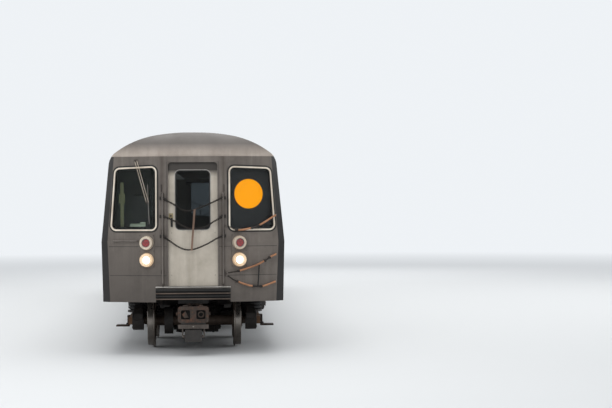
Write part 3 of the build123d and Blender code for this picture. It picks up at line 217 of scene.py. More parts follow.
# Painted shadow, with some grime: the top of the end door leaf, under the doorway head, goes nearly black.
door_paint.stain(0x241D17, door_paint.axis("Z"), RAIL + 2.93, RAIL + 3.04, 0.97)
roof_steel = worn("roof_steel", 0x7A746F, 0x605A54, 0x96918B, 0.3, 0.5, 0.3, patch=0.35)
side_steel = worn(
    "side_steel", 0x9E9B97, 0x746C64, 0xBAB7B3, 0.7, 0.34, 0.5, (0.05, 0.05, 30), (0.9, 1.5), 0.22
)
leaf_steel = worn(
    "leaf_steel", 0xA6A39F, 0x7A736B, 0xC0BDB9, 0.7, 0.32, 0.5, (30, 30, 0.05), (1.0, 1.7), 0.22
)
rim_cream = worn("rim_cream", 0xECE1D0, 0xA89680, 0xF6F0E5, 0.05, 0.4, 0.4)
ring_cream = worn("ring_cream", 0xDED0BC, 0xA08A72, 0xEEE6D8, 0.05, 0.4, 0.3)
fitting = worn("fitting_paint", 0x544C46, 0x2E2824, 0x786E64, 0.3, 0.55)
post_bar = worn("post_bar", 0x706963, 0x3A322D, 0x7E756C, 0.3, 0.5)
black_paint = worn("black_paint", 0x120F0D, 0x0A0909, 0x2C2622, 0.05, 0.65)
# Painted highlight: a lighter colour on two of the anticlimber's ribs, where light catches them.
rib_highlight = worn("rib_highlight", 0x5C4E44, 0x342A24, 0x7E7064, 0.2, 0.6)
rust_cast = worn("rust_cast", 0x382D26, 0x28211D, 0x7A6E64, 0.25, 0.75)
rust_cast.stain(0x603E2C, rust_cast.noise(16.0, detail=6.0), 0.5, 0.68, 0.75)
rust_cast.bump(rust_cast.noise(240.0, detail=3.0), 0.0012, 0.8)
# Painted shade: the faces inside the coupler's pockets are near black.
pocket_shade = worn("pocket_shade", 0x14110F, 0x080706, 0x28211C, 0.2, 0.7)
chain_steel = worn("chain_steel", 0x2C2622, 0x161311, 0x4E443C, 0.3, 0.6)
copper = worn("spring_copper", 0xBE8A66, 0x80583E, 0xE2BEA0, 0.25, 0.42)
strap_web = worn("strap_web", 0x826858, 0x544238, 0x9C8270, 0.0, 0.8)
frame_black = worn("underframe_paint", 0x282523, 0x141211, 0x544C44, 0.15, 0.65)
truck_black = worn("truck_paint", 0x2E2926, 0x161312, 0x5C5046, 0.2, 0.65)
motor_grey = worn("motor_paint", 0x3A3633, 0x1A1817, 0x605850, 0.2, 0.6)
box_grey = worn("box_paint", 0x464340, 0x262321, 0x6A635C, 0.15, 0.55)
wheel_steel = worn("wheel_steel", 0x56483E, 0x302620, 0x7C6A5C, 0.4, 0.6)
tread_steel = worn("tread_steel", 0x807A74, 0x544D47, 0xA8A39E, 0.9, 0.3, 0.1)
shoe_wood = worn("shoe_beam_wood", 0x70523A, 0x3E2C20, 0x927256, 0.0, 0.75, 0.4, (0.4, 6, 6))
bellows = worn("bellows_rubber", 0x222120, 0x121111, 0x403C38, 0.0, 0.75)
rubber = worn("rubber_black", 0x1A1918, 0x0E0D0D, 0x322F2C, 0.0, 0.62, 0.2)
lining = worn("lining_panel", 0xC4BEB0, 0xA8A092, 0xD4CFC4, 0.0, 0.38, 0.2)
cab_green = worn("cab_lining", 0x323830, 0x222621, 0x42483E, 0.0, 0.6, 0.2)
floor_cover = worn("floor_cover", 0x4A4846, 0x302E2D, 0x787672, 0.0, 0.6, 0.0)
seat_orange = worn("seat_plastic", 0xCE7028, 0xA0521C, 0xE08C46, 0.0, 0.35, 0.0)
pole_steel = worn("pole_steel", 0xBEBCB9, 0x96938F, 0xD6D4D2, 0.95, 0.2, 0.1)
cab_olive = worn("cab_post_paint", 0x767854, 0x54563C, 0x969674, 0.0, 0.55, 0.2)
cab_pale = worn("cab_shelf_paint", 0xAAB4A0, 0x808A78, 0xC8CEBE, 0.0, 0.5, 0.2)
cab_paint = worn("cab_paint", 0x282C29, 0x181B19, 0x3E4340, 0.0, 0.6)
bright = worn("bright_metal", 0xB2AEA8, 0x787068, 0xCECBC7, 0.85, 0.3, 0.2)
lock_brass = worn("lock_brass", 0x988A66, 0x6E6246, 0xB0A27E, 0.2, 0.5)
grid_iron = worn("grid_iron", 0x625C58, 0x38322E, 0x8C847E, 0.5, 0.5)
insulator = worn("insulator", 0x965234, 0x603220, 0xB47050, 0.0, 0.3, 0.1)


def pane(name, color, rough, low, high):
    """Tinted glass that is a little uneven."""
    made = Shader(name, color, 0.0, rough, IOR=1.2, Transmission_Weight=1.0, Specular_IOR_Level=0.2)
    return made.rough(made.noise(2.2), low, high)


glass = pane("glass", (0.86, 0.90, 0.88, 1), 0.0, 0.02, 0.07)
# Painted shade: the end door's glass is tinted nearly black, for the dark inside seen through it.
door_glass_shade = pane("door_glass_shade", (0.17, 0.19, 0.20, 1), 0.03, 0.0, 0.02)
side_glass = pane("side_glass", (0.42, 0.47, 0.46, 1), 0.03, 0.0, 0.02)
sign_curtain = Shader("sign_curtain", srgb(0x18181C), 0.0, 0.8)
sign_curtain.stain(0x28282E, sign_curtain.noise(14.0, (0.2, 0.2, 6)), 0.45, 0.7, 0.6)
sign_curtain.bump(sign_curtain.noise(220.0), 0.0004)
sign_disc = Shader(
    "sign_disc", srgb(0xFAA000), 0.0, 0.8,
    Emission_Color=srgb(0xFF9600), Emission_Strength=0.55, Specular_IOR_Level=0.05,
)
sign_disc.stain(0xF4A004, sign_disc.noise(5.0), 0.45, 0.75, 0.4)
red_lens = Shader("red_lens", srgb(0x96080E), 0.0, 0.12, Coat_Weight=1.0, Coat_Roughness=0.05)
red_lens.stain(0x540408, red_lens.noise(45.0), 0.45, 0.6, 0.7)
red_lens.bump(red_lens.noise(120.0, detail=1.0), 0.002)
head_lens = Shader("head_lens", srgb(0xFFF6E4), 0.0, 0.1, Emission_Color=(1.0, 0.80, 0.56, 1))
head_x = head_lens.math("SUBTRACT", head_lens.math("ABSOLUTE", head_lens.axis("X"), 0.0), LAMP_X)
head_up = head_lens.math("SUBTRACT", head_lens.axis("Z"), RAIL + HEAD_UP)
squares = [head_lens.math("POWER", part, 2.0) for part in (head_x, head_up)]
head_far = head_lens.math("SQRT", head_lens.math("ADD", *squares), 0.0)
head_lens.link(head_lens.ramp(head_far, 0.015, 0.066, 9.0, 1.1), head_lens.bsdf.inputs["Emission Strength"])
# Painted light: the cream rings round the headlamps glow warm, for the glare of the lamps.
ring_painted_glow = worn("ring_painted_glow", 0xE8CEAC, 0xB4926E, 0xF4E2C8, 0.0, 0.4, 0.3)
ring_painted_glow.bsdf.inputs["Emission Color"].default_value = (1.0, 0.62, 0.34, 1)
ring_painted_glow.bsdf.inputs["Emission Strength"].default_value = 0.22
tube_light = Shader(
    "tube_light", srgb(0xECEAE2), 0.0, 0.4, Emission_Color=(1.0, 0.97, 0.9, 1), Emission_Strength=0.12
)


# Meshes
def side_x(z, inset=0.0):
    """Half width of the body's side at height z."""
    if z <= BELT_Z:
        share = (z - SILL_Z) / (BELT_Z - SILL_Z)
        return (SILL_HALF - inset) * (1 - share) + (BELT_HALF - inset) * share
    return BELT_HALF - (z - BELT_Z) * tan(LEAN) - inset / cos(LEAN)


def sweep_y(x):
    """Place along the car of the front end's face, x from the middle."""
    return FACE_Y + max(0.0, abs(x) - CREASE) * tan(TURN)


def axes(across, up, normal, foot):
    """Matrix of a place with these local X, Y and Z, and this origin."""
    return Matrix((*zip(across, up, normal, foot), (0, 0, 0, 1)))


def panel(x, z, out=0.0, side=1):
    """Matrix of a place on the front end's swept panel: local X across, Y up, Z out."""
    across, normal = Vector((1, 0, 0)), Vector((0, -1, 0))
    if x > CREASE:
        across = Vector((cos(TURN), side * sin(TURN), 0))
        normal = Vector((side * sin(TURN), -cos(TURN), 0))
    return axes(across, (0, 0, 1), normal, Vector((side * x, sweep_y(x), z)) + normal * out)


def on_panel(x, z, out, side=1):
    """The point out from the swept panel, at x from the middle and at height z."""
    return panel(x - out * sin(TURN), z, out, side).translation


def side_place(y, z, out=0.0, side=1):
    """Matrix of a place on the car's side: local X along the car, Y up the side, Z out."""
    tilt = -atan2(BELT_HALF - SILL_HALF, BELT_Z - SILL_Z) if z <= BELT_Z else LEAN
    normal = Vector((side * cos(tilt), 0, sin(tilt)))
    up = (-side * sin(tilt), 0, cos(tilt))
    return axes((0, side, 0), up, normal, Vector((side * side_x(z), y, z)) + normal * out)


def wall_place(x, y, z, side=1):
    """Matrix of a place that faces sideways: local X along the car, Y up, Z out."""
    return axes((0, side, 0), (0, 0, 1), (side, 0, 0), (x, y, z))


def rounded(corners, radius, grow=0.0, steps=6):
    """A convex outline, counterclockwise, grown by grow, with arcs at its corners."""
    points = []
    for i, corner in enumerate(corners):
        a, b, c = (Vector(p) for p in (corners[i - 1], corner, corners[(i + 1) % len(corners)]))
        u, v = (b - a).normalized(), (c - b).normalized()
        n1, n2 = Vector((u.y, -u.x)), Vector((v.y, -v.x))
        half = acos(max(-1, min(1, u.dot(v)))) / 2
        r = max(0.0005, radius + grow)
        centre = b + (n1 + n2) * (grow / (1 + n1.dot(n2))) - u * (r * tan(half)) - n1 * r
        start = atan2(n1.y, n1.x)
        for k in range(steps + 1):
            angle = start + 2 * half * k / steps
            points.append((centre.x + r * cos(angle), centre.y + r * sin(angle)))
    return points


def rect(width, height, x=0.0, y=0.0):
    return [
        (x - width / 2, y - height / 2), (x + width / 2, y - height / 2),
        (x + width / 2, y + height / 2), (x - width / 2, y + height / 2),
    ]


def circle(count, reach, start=0.0):
    """Points evenly round a circle."""
    angles = [start + 2 * pi * k / count for k in range(count)]
    return [(reach * cos(a), reach * sin(a)) for a in angles]


def skin(rings, count, ring=False):
    """Faces over rows of count points: closed into a ring, or else with a cap on both ends."""
    faces = []
    for row in range(rings if ring else rings - 1):
        low, high = row * count, (row + 1) % rings * count
        for k in range(count):
            after = (k + 1) % count
            faces.append((low + k, low + after, high + after, high + k))
    if not ring:
        faces += [tuple(range(count))[::-1], tuple(range((rings - 1) * count, rings * count))]
    return faces


def across_path(points, closed=False):
    """Each point of a path, with two directions across it that don't twist."""
    count, normal = len(points), None
    for i, point in enumerate(points):
        after = points[(i + 1) % count if closed else min(i + 1, count - 1)]
        before = points[i - 1 if closed else max(i - 1, 0)]
        tangent = (after - before).normalized()
        normal = tangent.orthogonal() if normal is None else normal - tangent * normal.dot(tangent)
        normal = normal.normalized()
        yield point, normal, tangent.cross(normal)


class Piece:
    """Gathers faces into one mesh."""

    def __init__(self, name, body="carbody"):
        self.name, self.body = name, body
        self.verts, self.faces, self.mats, self.slots = [], [], [], []
        self.current = 0

    def use(self, shader):
        if shader.mat not in self.slots:
            self.slots.append(shader.mat)
        self.current = self.slots.index(shader.mat)
        return self

    def add(self, verts, faces):
        start = len(self.verts)
        self.verts += [tuple(v) for v in verts]
        self.faces += [tuple(start + i for i in f) for f in faces]
        self.mats += [self.current] * len(faces)

    def box(self, size, place=None, at=(0, 0, 0), chamfer=0.0):
        """A box with chamfered long edges on its top, centred at a point of a place."""
        place = place or Matrix()
        x, y, z = (s / 2 for s in size)
        c = min(chamfer, x * 0.9, y * 0.9, z * 0.9)
        verts = []
        for rx, ry, rz in ((x, y, -z), (x, y, z - c), (x - c, y - c, z)):
            for sx, sy in ((-1, -1), (1, -1), (1, 1), (-1, 1)):
                verts.append(place @ Vector((at[0] + sx * rx, at[1] + sy * ry, at[2] + rz)))
        self.add(verts, skin(3, 4))
        return self

    def block(self, size, centre, chamfer=0.0):
        """A box square to the car."""
        return self.box(size, Matrix.Translation(centre), chamfer=chamfer)

    def prism(self, outline, place, low, high, chamfer=0.0):
        """A flat shape with thickness, standing on a place."""
        count = len(outline)
        cx, cy = (sum(p[i] for p in outline) / count for i in (0, 1))
        rings = [(low, 0.0), (high - chamfer, 0.0)] + ([(high, chamfer)] if chamfer else [])
        verts = []
        for z, shrink in rings:
            for x, y in outline:
                keep = 1 - shrink / (hypot(x - cx, y - cy) or 1)
                verts.append(place @ Vector((cx + (x - cx) * keep, cy + (y - cy) * keep, z)))
        self.add(verts, skin(len(rings), count))
        return self

    def loop(self, inner, outer, place, low, high, round_top=0.0):
        """A closed frame between two outlines with the same number of points."""
        rows = [(outer, 0, low), (outer, 0, high - round_top), (outer, round_top, high),
                (inner, -round_top, high), (inner, 0, high - round_top), (inner, 0, low)]
        verts = []
        for outline, shift, z in rows:
            for k, (x, y) in enumerate(outline):
                ox, oy = inner[k] if outline is outer else outer[k]
                if shift:
                    share = abs(shift) / (hypot(ox - x, oy - y) or 1)
                    x, y = x + (ox - x) * share, y + (oy - y) * share
                verts.append(place @ Vector((x, y, z)))
        self.add(verts, skin(len(rows), len(inner), True))
        return self

    def lathe(self, profile, place, steps=24, caps=True):
        """Turns a profile of (radius, height) pairs about a place's own Z, as a ring where it has no caps."""
        verts = [place @ Vector((x, y, z)) for r, z in profile for x, y in circle(steps, r)]
        self.add(verts, skin(len(profile), steps, not caps))
        return self

    def bolt(self, place, at=(0, 0), radius=0.009, height=0.005, sides=6, base=0.0):
        """A bolt or rivet head on a place."""
        spot = place @ Matrix.Translation((at[0], at[1], base))
        return self.lathe([(radius, 0), (radius, height * 0.6), (radius * 0.7, height)], spot, sides)

    def bolts(self, place, spots, *shape):
        """Bolts of one shape at several spots of a place."""
        for spot in spots:
            self.bolt(place, spot, *shape)
        return self

    def tube(self, points, radius, sides=8, closed=False):
        """A round bar along a path."""
        points = [Vector(p) for p in points]
        verts = []
        for point, normal, other in across_path(points, closed):
            for x, y in circle(sides, 1):
                verts.append(point + (normal * x + other * y) * radius)
        self.add(verts, skin(len(points), sides, closed))
        return self

    def again(self, way):
        """Adds the same again: turned to the rear end, way -1, or mirrored to the other side, way 1."""
        count = len(self.verts)
        self.verts += [(-x, way * y, z) for x, y, z in self.verts]
        self.faces += [tuple(i + count for i in f[::-way]) for f in self.faces]
        self.mats += self.mats
        return self

    def turned(self):
        return self.again(-1)

    def mirrored(self):
        return self.again(1)

    def moved(self, matrix):
        """Moves what was gathered so far."""
        self.verts = [tuple(matrix @ Vector(v)) for v in self.verts]
        return self

    def make(self, slot):
        """The finished mesh, riding on its body; the slot argument is not used."""
        mesh = bpy.data.meshes.new(self.name)
        mesh.from_pydata(self.verts, [], self.faces)
        for mat in self.slots:
            mesh.materials.append(mat)
        mesh.polygons.foreach_set("material_index", self.mats)
        mesh.polygons.foreach_set("use_smooth", [True] * len(mesh.polygons))
        mesh.set_sharp_from_angle(angle=radians(35))
        mesh.update()
        obj = bpy.data.objects.new(self.name, mesh)
        bpy.context.scene.collection.objects.link(obj)
        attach(obj, self.body)
        return obj


def end_place(x, y, z, end=-1):
    """Matrix of a place that faces along the car: local X across, Y up, Z out."""
    return axes((-end, 0, 0), (0, 0, 1), (0, end, 0), (x, y, z))


def curve_through(points, step):
    """Points evenly spaced along a smooth curve through the given ones."""
    points = [Vector(p) for p in points]
    ends = [points[0] * 2 - points[1]] + points + [points[-1] * 2 - points[-2]]
    dense = []
    for i in range(1, len(ends) - 2):
        p0, p1, p2, p3 = ends[i - 1:i + 3]
        for k in range(24):
            t = k / 24
            dense.append(0.5 * (
                2 * p1 + (p2 - p0) * t + (2 * p0 - 5 * p1 + 4 * p2 - p3) * t * t
                + (3 * p1 - p0 - 3 * p2 + p3) * t ** 3
            ))
    dense.append(points[-1])
    length = sum((b - a).length for a, b in zip(dense, dense[1:]))
    count = max(2, round(length / step))
    out, target, run = [dense[0]], length / count, 0.0
    for a, b in zip(dense, dense[1:]):
        span = (b - a).length
        while run + span >= target * len(out) - 1e-9 and len(out) < count:
            out.append(a.lerp(b, (target * len(out) - run) / span))
        run += span
    out.append(dense[-1])
    return out


def links(piece, points, wire, width, length):
    """Chain links, turned a quarter each, along a path."""
    pitch = length - 2 * wire
    path = curve_through(points, pitch)
    half, bend = length / 2 - width / 2, width / 2 - wire / 2
    for i, (a, b) in enumerate(zip(path, path[1:])):
        tangent = (b - a).normalized()
        side = tangent.cross(Vector((0, -1, 0))).normalized()
        depth = tangent.cross(side).normalized()
        across = (side if i % 2 else depth) * 0.8 + (depth if i % 2 else side) * 0.6
        middle = (a + b) / 2
        ring = []
        for x, y in circle(12, 1):
            ring.append(middle + across * y * bend + tangent * (x * bend + copysign(half, x)))
        piece.tube(ring, wire / 2, 6, closed=True)


def coil(piece, points, radius, wire, pitch):
    """A close-wound spring along a path."""
    out = []
    for i, (point, normal, other) in enumerate(across_path(curve_through(points, pitch / 8))):
        angle = i * pi / 4
        out.append(point + (normal * cos(angle) + other * sin(angle)) * (radius - wire / 2))
    piece.tube(out, wire / 2, 5)


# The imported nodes' own finishes
def dress(name, shaders, rule=None):
    """Gives a CAD node its materials, by a rule from a face's centre and normal to an index."""
    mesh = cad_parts[name].data
    mesh.materials.clear()
    for shader in shaders:
        mesh.materials.append(shader.mat)
    mesh.polygons.foreach_set("material_index", [rule(p.center, p.normal) if rule else 0 for p in mesh.polygons])
    mesh.update()


def end_rule(c, n):
    """Corner posts, outer sheets and the recesses behind them; the posts and recesses take colours of painted shade.
    """
    inner = -sweep_y(c.x) - abs(c.y)
    if 0.5 < abs(n.x) < 0.95 and abs(n.z) < 0.3 and abs(c.x) > 1.2 and inner < 0.11:
        return 1
    return 2 if inner > 0.012 else 0


def wall_rule(c, n):
    """Steel outside, lining inside and rubber in the thickness."""
    depth = side_x(c.z) - abs(c.x)
    return 0 if depth < 0.02 else (1 if depth > 0.1 else 2)


def rib_highlight_rule(c, n):
    """Painted highlight on the front faces of two of the anticlimber's ribs."""
    edge = abs(c.y) > 11.345 and abs(n.y) > 0.9
    return 1 if edge and min(abs(c.z - h) for h in (1.036, 0.943)) < 0.009 else 0


def from_panel(c, x, z, out=0.0):
    """A point of either end, as seen from a place on the panel of its own side."""
    way = -1 if c.y > 0 else 1
    side = 1 if c.x * way > 0 else -1
    return panel(x, z, out, side).inverted() @ Vector((c.x * way, c.y * way, c.z))


def lamp_rule(c, n):
    """Rings stand out from their back plate; their bores are dark."""
    local = from_panel(c, LAMP_X, RAIL)
    if local.z < 0.0105:
        return 0
    radius = hypot(local.x, min(abs(local.y - TAIL_UP), abs(local.y - HEAD_UP)))
    return 2 if radius < 0.072 else (1 if local.y > 1.7 else 3)


def sign_rule(c, n):
    """The disc on the blank route sign."""
    local = from_panel(c, 0.949, RAIL + 2.642, -0.0903)
    return 1 if local.z > 0.0005 and hypot(local.x, local.y) < 0.26 else 0


def end_door_rule(c, n):
    """Glass, the fittings that stand out, and the window's rubber edge."""
    x, y = abs(c.x), abs(c.y)
    if x < 0.2835 and RAIL + 2.055 < c.z < RAIL + 3.032 and y < END_LEAF_Y - 0.01 and abs(n.y) > 0.9:
        return 1
    if y > END_LEAF_Y + 0.001:
        return 2
    return 3 if x < 0.2845 and RAIL + 2.05 < c.z < RAIL + 3.035 and y < END_LEAF_Y - 0.001 and abs(n.y) < 0.5 else 0


def leaf_rule(middle):
    """A side door leaf's rule: hanger, glass and the window's rubber edge."""
    def rule(c, n):
        far, up = abs(c.y - middle), c.z - FLOOR_Z
        if c.z > RAIL + 3.01:
            return 3
        if far < 0.1995 and 0.931 < up < 1.779 and abs(n.x) > 0.9 and 0.044 < side_x(c.z) - abs(c.x) < 0.066:
            return 1
        return 2 if far < 0.201 and 0.929 < up < 1.781 and abs(n.x) < 0.6 else 0
    return rule


def tread_rule(middle):
    """A wheelset's rule: bright treads."""
    return lambda c, n: 1 if hypot(c.y - middle, c.z - AXLE_Z) > 0.419 and abs(n.x) < 0.85 else 0


def middle_y(name):
    """The middle of a node along the car."""
    low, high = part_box(name)
    return (low[1] + high[1]) / 2


for name, shader in (
    ("roof_caps", cap_paint), ("side_glazing", side_glass), ("end_glazing", glass), ("end_window_rims", rim_cream),
    ("underframe", frame_black), ("battery_box", box_grey), ("control_box", box_grey), ("air_supply", motor_grey),
    ("electric_heads", motor_grey), ("end_grabs", post_bar), ("seats", seat_orange), ("stanchions", pole_steel),
    ("cab_fittings", cab_paint), ("truck_motors_front", motor_grey), ("truck_motors_rear", motor_grey),
    ("truck_frame_front", truck_black), ("truck_frame_rear", truck_black),
):
    dress(name, (shader,))
dress("end_walls", (end_paint, corner_post_shade, recess_shade), end_rule)
dress("roof", (roof_steel, lining), lambda c, n: 1 if n.z < -0.2 else 0)
dress("cantrails", (side_steel, lining), lambda c, n: 0 if abs(c.x) > side_x(c.z) - 0.03 else 1)
dress("floor", (floor_cover, bright), lambda c, n: 1 if abs(c.x) > 1.36 and n.z > 0.5 else 0)
dress("ceiling", (lining, tube_light), lambda c, n: 1 if n.z < -0.3 and 0.42 < abs(c.x) < 0.70 and c.z < 3.17 else 0)
dress("resistor_grid", (box_grey, bright), lambda c, n: 1 if 0.434 < c.x < 1.326 and abs(n.x) < 0.5 else 0)
dress("anticlimbers", (black_paint, rib_highlight), rib_highlight_rule)
dress(
    "couplers", (rust_cast, pocket_shade),
    lambda c, n: 1 if 11.3 < abs(c.y) < 11.425 and abs(c.x) < 0.24 and 0.6 < c.z < 0.78 else 0,
)
dress("cab_partitions", (cab_green, lining), lambda c, n: 1 if abs(c.y) < 10.04 else 0)
dress("lamp_housings", (end_paint, ring_cream, black_paint, ring_painted_glow), lamp_rule)
dress("lamp_lenses", (red_lens, head_lens), lambda c, n: 0 if c.z > RAIL + 1.7 else 1)
dress("route_signs", (sign_curtain, sign_disc), sign_rule)
for end in ("front", "rear"):
    dress(f"truck_bolster_{end}", (truck_black, bellows), lambda c, n: 1 if RAIL + 0.557 < c.z < RAIL + 0.705 else 0)
    dress(f"shoe_gear_{end}", (shoe_wood, rust_cast), lambda c, n: 1 if abs(c.x) > 1.152 or c.z < 0.38 else 0)
    dress(f"end_door_{end}", (door_paint, door_glass_shade, black_paint, rubber), end_door_rule)
    for place in ("fore", "aft"):
        name = f"wheelset_{end}_truck_{place}"
        dress(name, (wheel_steel, tread_steel), tread_rule(middle_y(name)))
for side in ("right", "left"):
    dress(f"side_wall_{side}", (side_steel, lining, rubber), wall_rule)
    for number in (1, 2, 3, 4):
        for leaf in ("fore", "aft"):
            name = f"door_{side}_{number}_{leaf}"
            dress(name, (leaf_steel, side_glass, rubber, fitting), leaf_rule(middle_y(name)))

# End windows: gaskets round the rims, widened so that their black also stands for the shadow round the rims as
# painted shade, and a rubber inside them
WINDOW = [(0, 0), (0.7594, 0), (0.6835, 0.995), (0, 1.02)]
WINDOW_R = 0.075
rims_rubber_and_shade = Piece("end_window_gaskets_and_shade").use(rubber)
for grow_in, grow_out, low, high, top in ((0.0265, 0.050, 0.0, 0.012, 0.005), (-0.012, 0.0005, -0.016, 0.004, 0.002)):
    for side in SIDES:
        corners = [(side * x, y) for x, y in WINDOW][::side]
        inner, outer = (rounded(corners, WINDOW_R, grow) for grow in (grow_in, grow_out))
        rims_rubber_and_shade.loop(inner, outer, panel(0.615, RAIL + 2.06, 0.0, side), low, high, top)
rims_rubber_and_shade.turned().make("black_paint")

# End door trim: window rubber and rim, lock plate and hinge bolts
DOOR_WINDOW = rect(0.566, 0.973, 0, RAIL + 2.5435)
LOCK = (-0.362, RAIL + 2.285)
door_plane = axes((1, 0, 0), (0, 0, 1), (0, -1, 0), (0, -END_LEAF_Y, 0))
hem = [rounded(DOOR_WINDOW, 0.07, grow) for grow in (-0.012, 0.006, 0.016)]
for end in ("front", "rear"):
    trim = Piece(f"end_door_trim_{end}", f"end_door_{end}").use(rubber)
    trim.loop(hem[0], hem[1], door_plane, -0.014, 0.006, 0.002)
    trim.use(bright).loop(hem[1], hem[2], door_plane, 0.0, 0.004, 0.001)
    trim.use(lock_brass).box((0.074, 0.078, 0.003), door_plane, (*LOCK, 0.0015), 0.001)
    trim.use(fitting)
    trim.lathe([(0.016, 0), (0.016, 0.006), (0.011, 0.009)], door_plane @ Matrix.Translation((*LOCK, 0.003)), 14)
    for z in (1.3, 1.9, 2.0):
        trim.bolts(door_plane, ((-0.352, RAIL + z), (0.365, RAIL + z)), 0.006, 0.003, 8)
    if end == "rear":
        trim.verts = [(-x, -y, z) for x, y, z in trim.verts]
    trim.make("end_door_paint")

# Seams of the end sheets as thin dark strips of painted shade, threshold strip and door frame beads
BEAD = 0.016
flat_end = panel(0, 0)
seams = Piece("end_seams").use(recess_shade)
for z, spans in ((RAIL + 1.775, ((0.43, 0.626), (0.895, 1.395))), (RAIL + 1.297, ((0.43, 1.385),))):
    for side in SIDES:
        for low, high in spans:
            size = ((high - low) / cos(TURN), 0.007, 0.0016)
            seams.box(size, panel((low + high) / 2, z, 0.0008, side))
for side in SIDES:
    seams.box((0.004, 2.2, 0.0016), panel(0.4301, 2.1, 0.0008, side))
seams.use(bright).box((1.236, 0.020, 0.012), panel(0, RAIL + 1.106), (0, 0, 0.004), 0.003)
seams.use(post_bar)
for side in SIDES:
    seams.box((BEAD, 2.03, 0.004), flat_end, (side * 0.416, RAIL + 2.137, 0.002), 0.0015)
seams.box((0.85, BEAD, 0.004), flat_end, (0, RAIL + 3.174, 0.002), 0.0015)
seams.turned().make("end_paint")

# Rounded upper corners of the end doorways
HEAD_R = 0.055
heads = Piece("end_doorway_corners").use(end_paint)
for side in SIDES:
    x, z = side * 0.4075, RAIL + 3.165
    outline = [(x, z)]
    for k in range(9):
        angle = pi / 2 * k / 8
        outline.append((x - side * HEAD_R * (1 - cos(angle)), z - HEAD_R * (1 - sin(angle))))
    heads.prism(outline[::side], flat_end, -0.035, 0.0)
heads.turned().make("end_paint")

# Rivets and bolts on the end
studs = Piece("end_studs").use(end_paint)
for side in SIDES:
    for i in range(14):
        studs.bolt(panel(0.47, RAIL + 1.16 + i * 0.15, 0, side), (0, 0), 0.007, 0.0035, 8)
    for i in range(9):
        for z, radius, height in ((1.25, 0.006, 0.003), (3.225, 0.006, 0.003), (0.90, 0.007, 0.004)):
            studs.bolt(panel(0.52 + i * 0.098, RAIL + z, 0, side), (0, 0), radius, height, 8)
studs.bolts(panel(0, RAIL + 3.225), [((i - 4) * 0.098, 0) for i in range(9)], 0.006, 0.003, 8)
studs.use(fitting)
for side in SIDES:
    for z in (1.45, 1.70, 1.96):
        for dx in (-0.115, 0.115):
            studs.bolt(panel(LAMP_X + dx, RAIL + z, 0.010, side), (0, 0), 0.008, 0.005)
studs.turned().make("end_paint")

# Chain hooks, eyes and post brackets
POST_X = 0.5
post_y = on_panel(POST_X, 2.0, 0.045).y
hooks = Piece("chain_hooks").use(chain_steel)
for side in SIDES:
    for z in (RAIL + 2.575, RAIL + 2.274, RAIL + 1.948):
        hooks.box((0.058, 0.052, 0.040), panel(0.508, z, 0.030, side), chamfer=0.008)
        claw = ((0.492, 0.006, 0.012), (0.468, 0.008, 0), (0.440, 0.004, -0.018))
        hooks.tube([(side * x, post_y - out, z + up) for x, out, up in claw], 0.0115, 8)
        centre = Vector((side * (POST_X - 0.012), post_y - 0.004, z))
        hooks.tube([centre + Vector((x * 0.020, 0, y * 0.024)) for x, y in circle(14, 1)], 0.0055, 6, closed=True)
    for z in (2.62, 2.02, 1.36):
        hooks.box((0.034, 0.070, 0.022), panel(POST_X, RAIL + z, 0.018, side), chamfer=0.005)
        hooks.bolt(panel(POST_X, RAIL + z, 0.029, side), (0, 0), 0.009, 0.006)
for side in (-1, 1):
    hooks.tube([on_panel(0.517, RAIL + z, 0.032, side) for z in (2.80, 2.74, 2.68)], 0.007, 8)
hooks.turned().make("fitting_steel")

# Safety chains across the end door. Columns: x, height over the rail.
UPPER = (
    (-0.49, 2.567), (-0.277, 2.451), (-0.178, 2.378), (-0.028, 2.366), (0.121, 2.418), (0.287, 2.484), (0.49, 2.584)
)
MIDDLE = (
    (-0.49, 2.280), (-0.394, 2.240), (-0.261, 2.177), (-0.161, 2.114),
    (-0.012, 2.069), (0.204, 2.102), (0.337, 2.180), (0.49, 2.268),
)
LOWER = (
    (-0.49, 1.945), (-0.394, 1.880), (-0.244, 1.775), (-0.111, 1.725),
    (0.038, 1.737), (0.238, 1.819), (0.390, 1.905), (0.49, 1.950),
)
chains = Piece("safety_chain_links").use(chain_steel)
for row in (UPPER, MIDDLE, LOWER):
    links(chains, [(x, post_y, RAIL + z) for x, z in row], 0.0112, 0.036, 0.050)
chains.use(strap_web)
STRAP = ((0.030, 2.392), (0.018, 2.22), (0.005, 2.060), (-0.008, 1.90), (-0.022, 1.712))
WEB = ((-0.016, -0.013), (0.016, -0.013), (0.016, -0.0095), (-0.016, -0.0095))
for part in zip(STRAP, STRAP[1:]):
    verts = [(x + dx, post_y + dy, RAIL + z) for x, z in part for dx, dy in WEB]
    chains.add(verts, skin(2, 4))
chains.turned()
chain_obj = chains.make("chain_steel")
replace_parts(chain_obj, "safety_chains")

# Barrier springs with short chains at their near ends. Columns: x, height over the rail.
SPRINGS = (
    (
        (0.566, 2.113), (0.64, 2.085), (0.719, 2.044), (0.836, 2.049), (0.952, 2.072),
        (1.051, 2.098), (1.201, 2.177), (1.284, 2.232), (1.372, 2.285),
    ),
    (
        (0.566, 1.338), (0.67, 1.352), (0.786, 1.376), (0.902, 1.410), (1.035, 1.454),
        (1.151, 1.509), (1.218, 1.548), (1.284, 1.592), (1.380, 1.636),
    ),
    (
        (0.566, 1.297), (0.669, 1.222), (0.75, 1.187), (0.836, 1.152), (0.952, 1.118),
        (1.118, 1.104), (1.220, 1.128), (1.364, 1.180),
    ),
)
BREAKS = ((0.722, 0.984, 1.075), (0.747, 1.196, 1.262), (0.722, 1.0, 1.12))
STAY = ((1.093, 1.462), (1.083, 1.28), (1.070, 1.106))
SPRING_OUT = 0.060
springs = Piece("barrier_spring_coils")
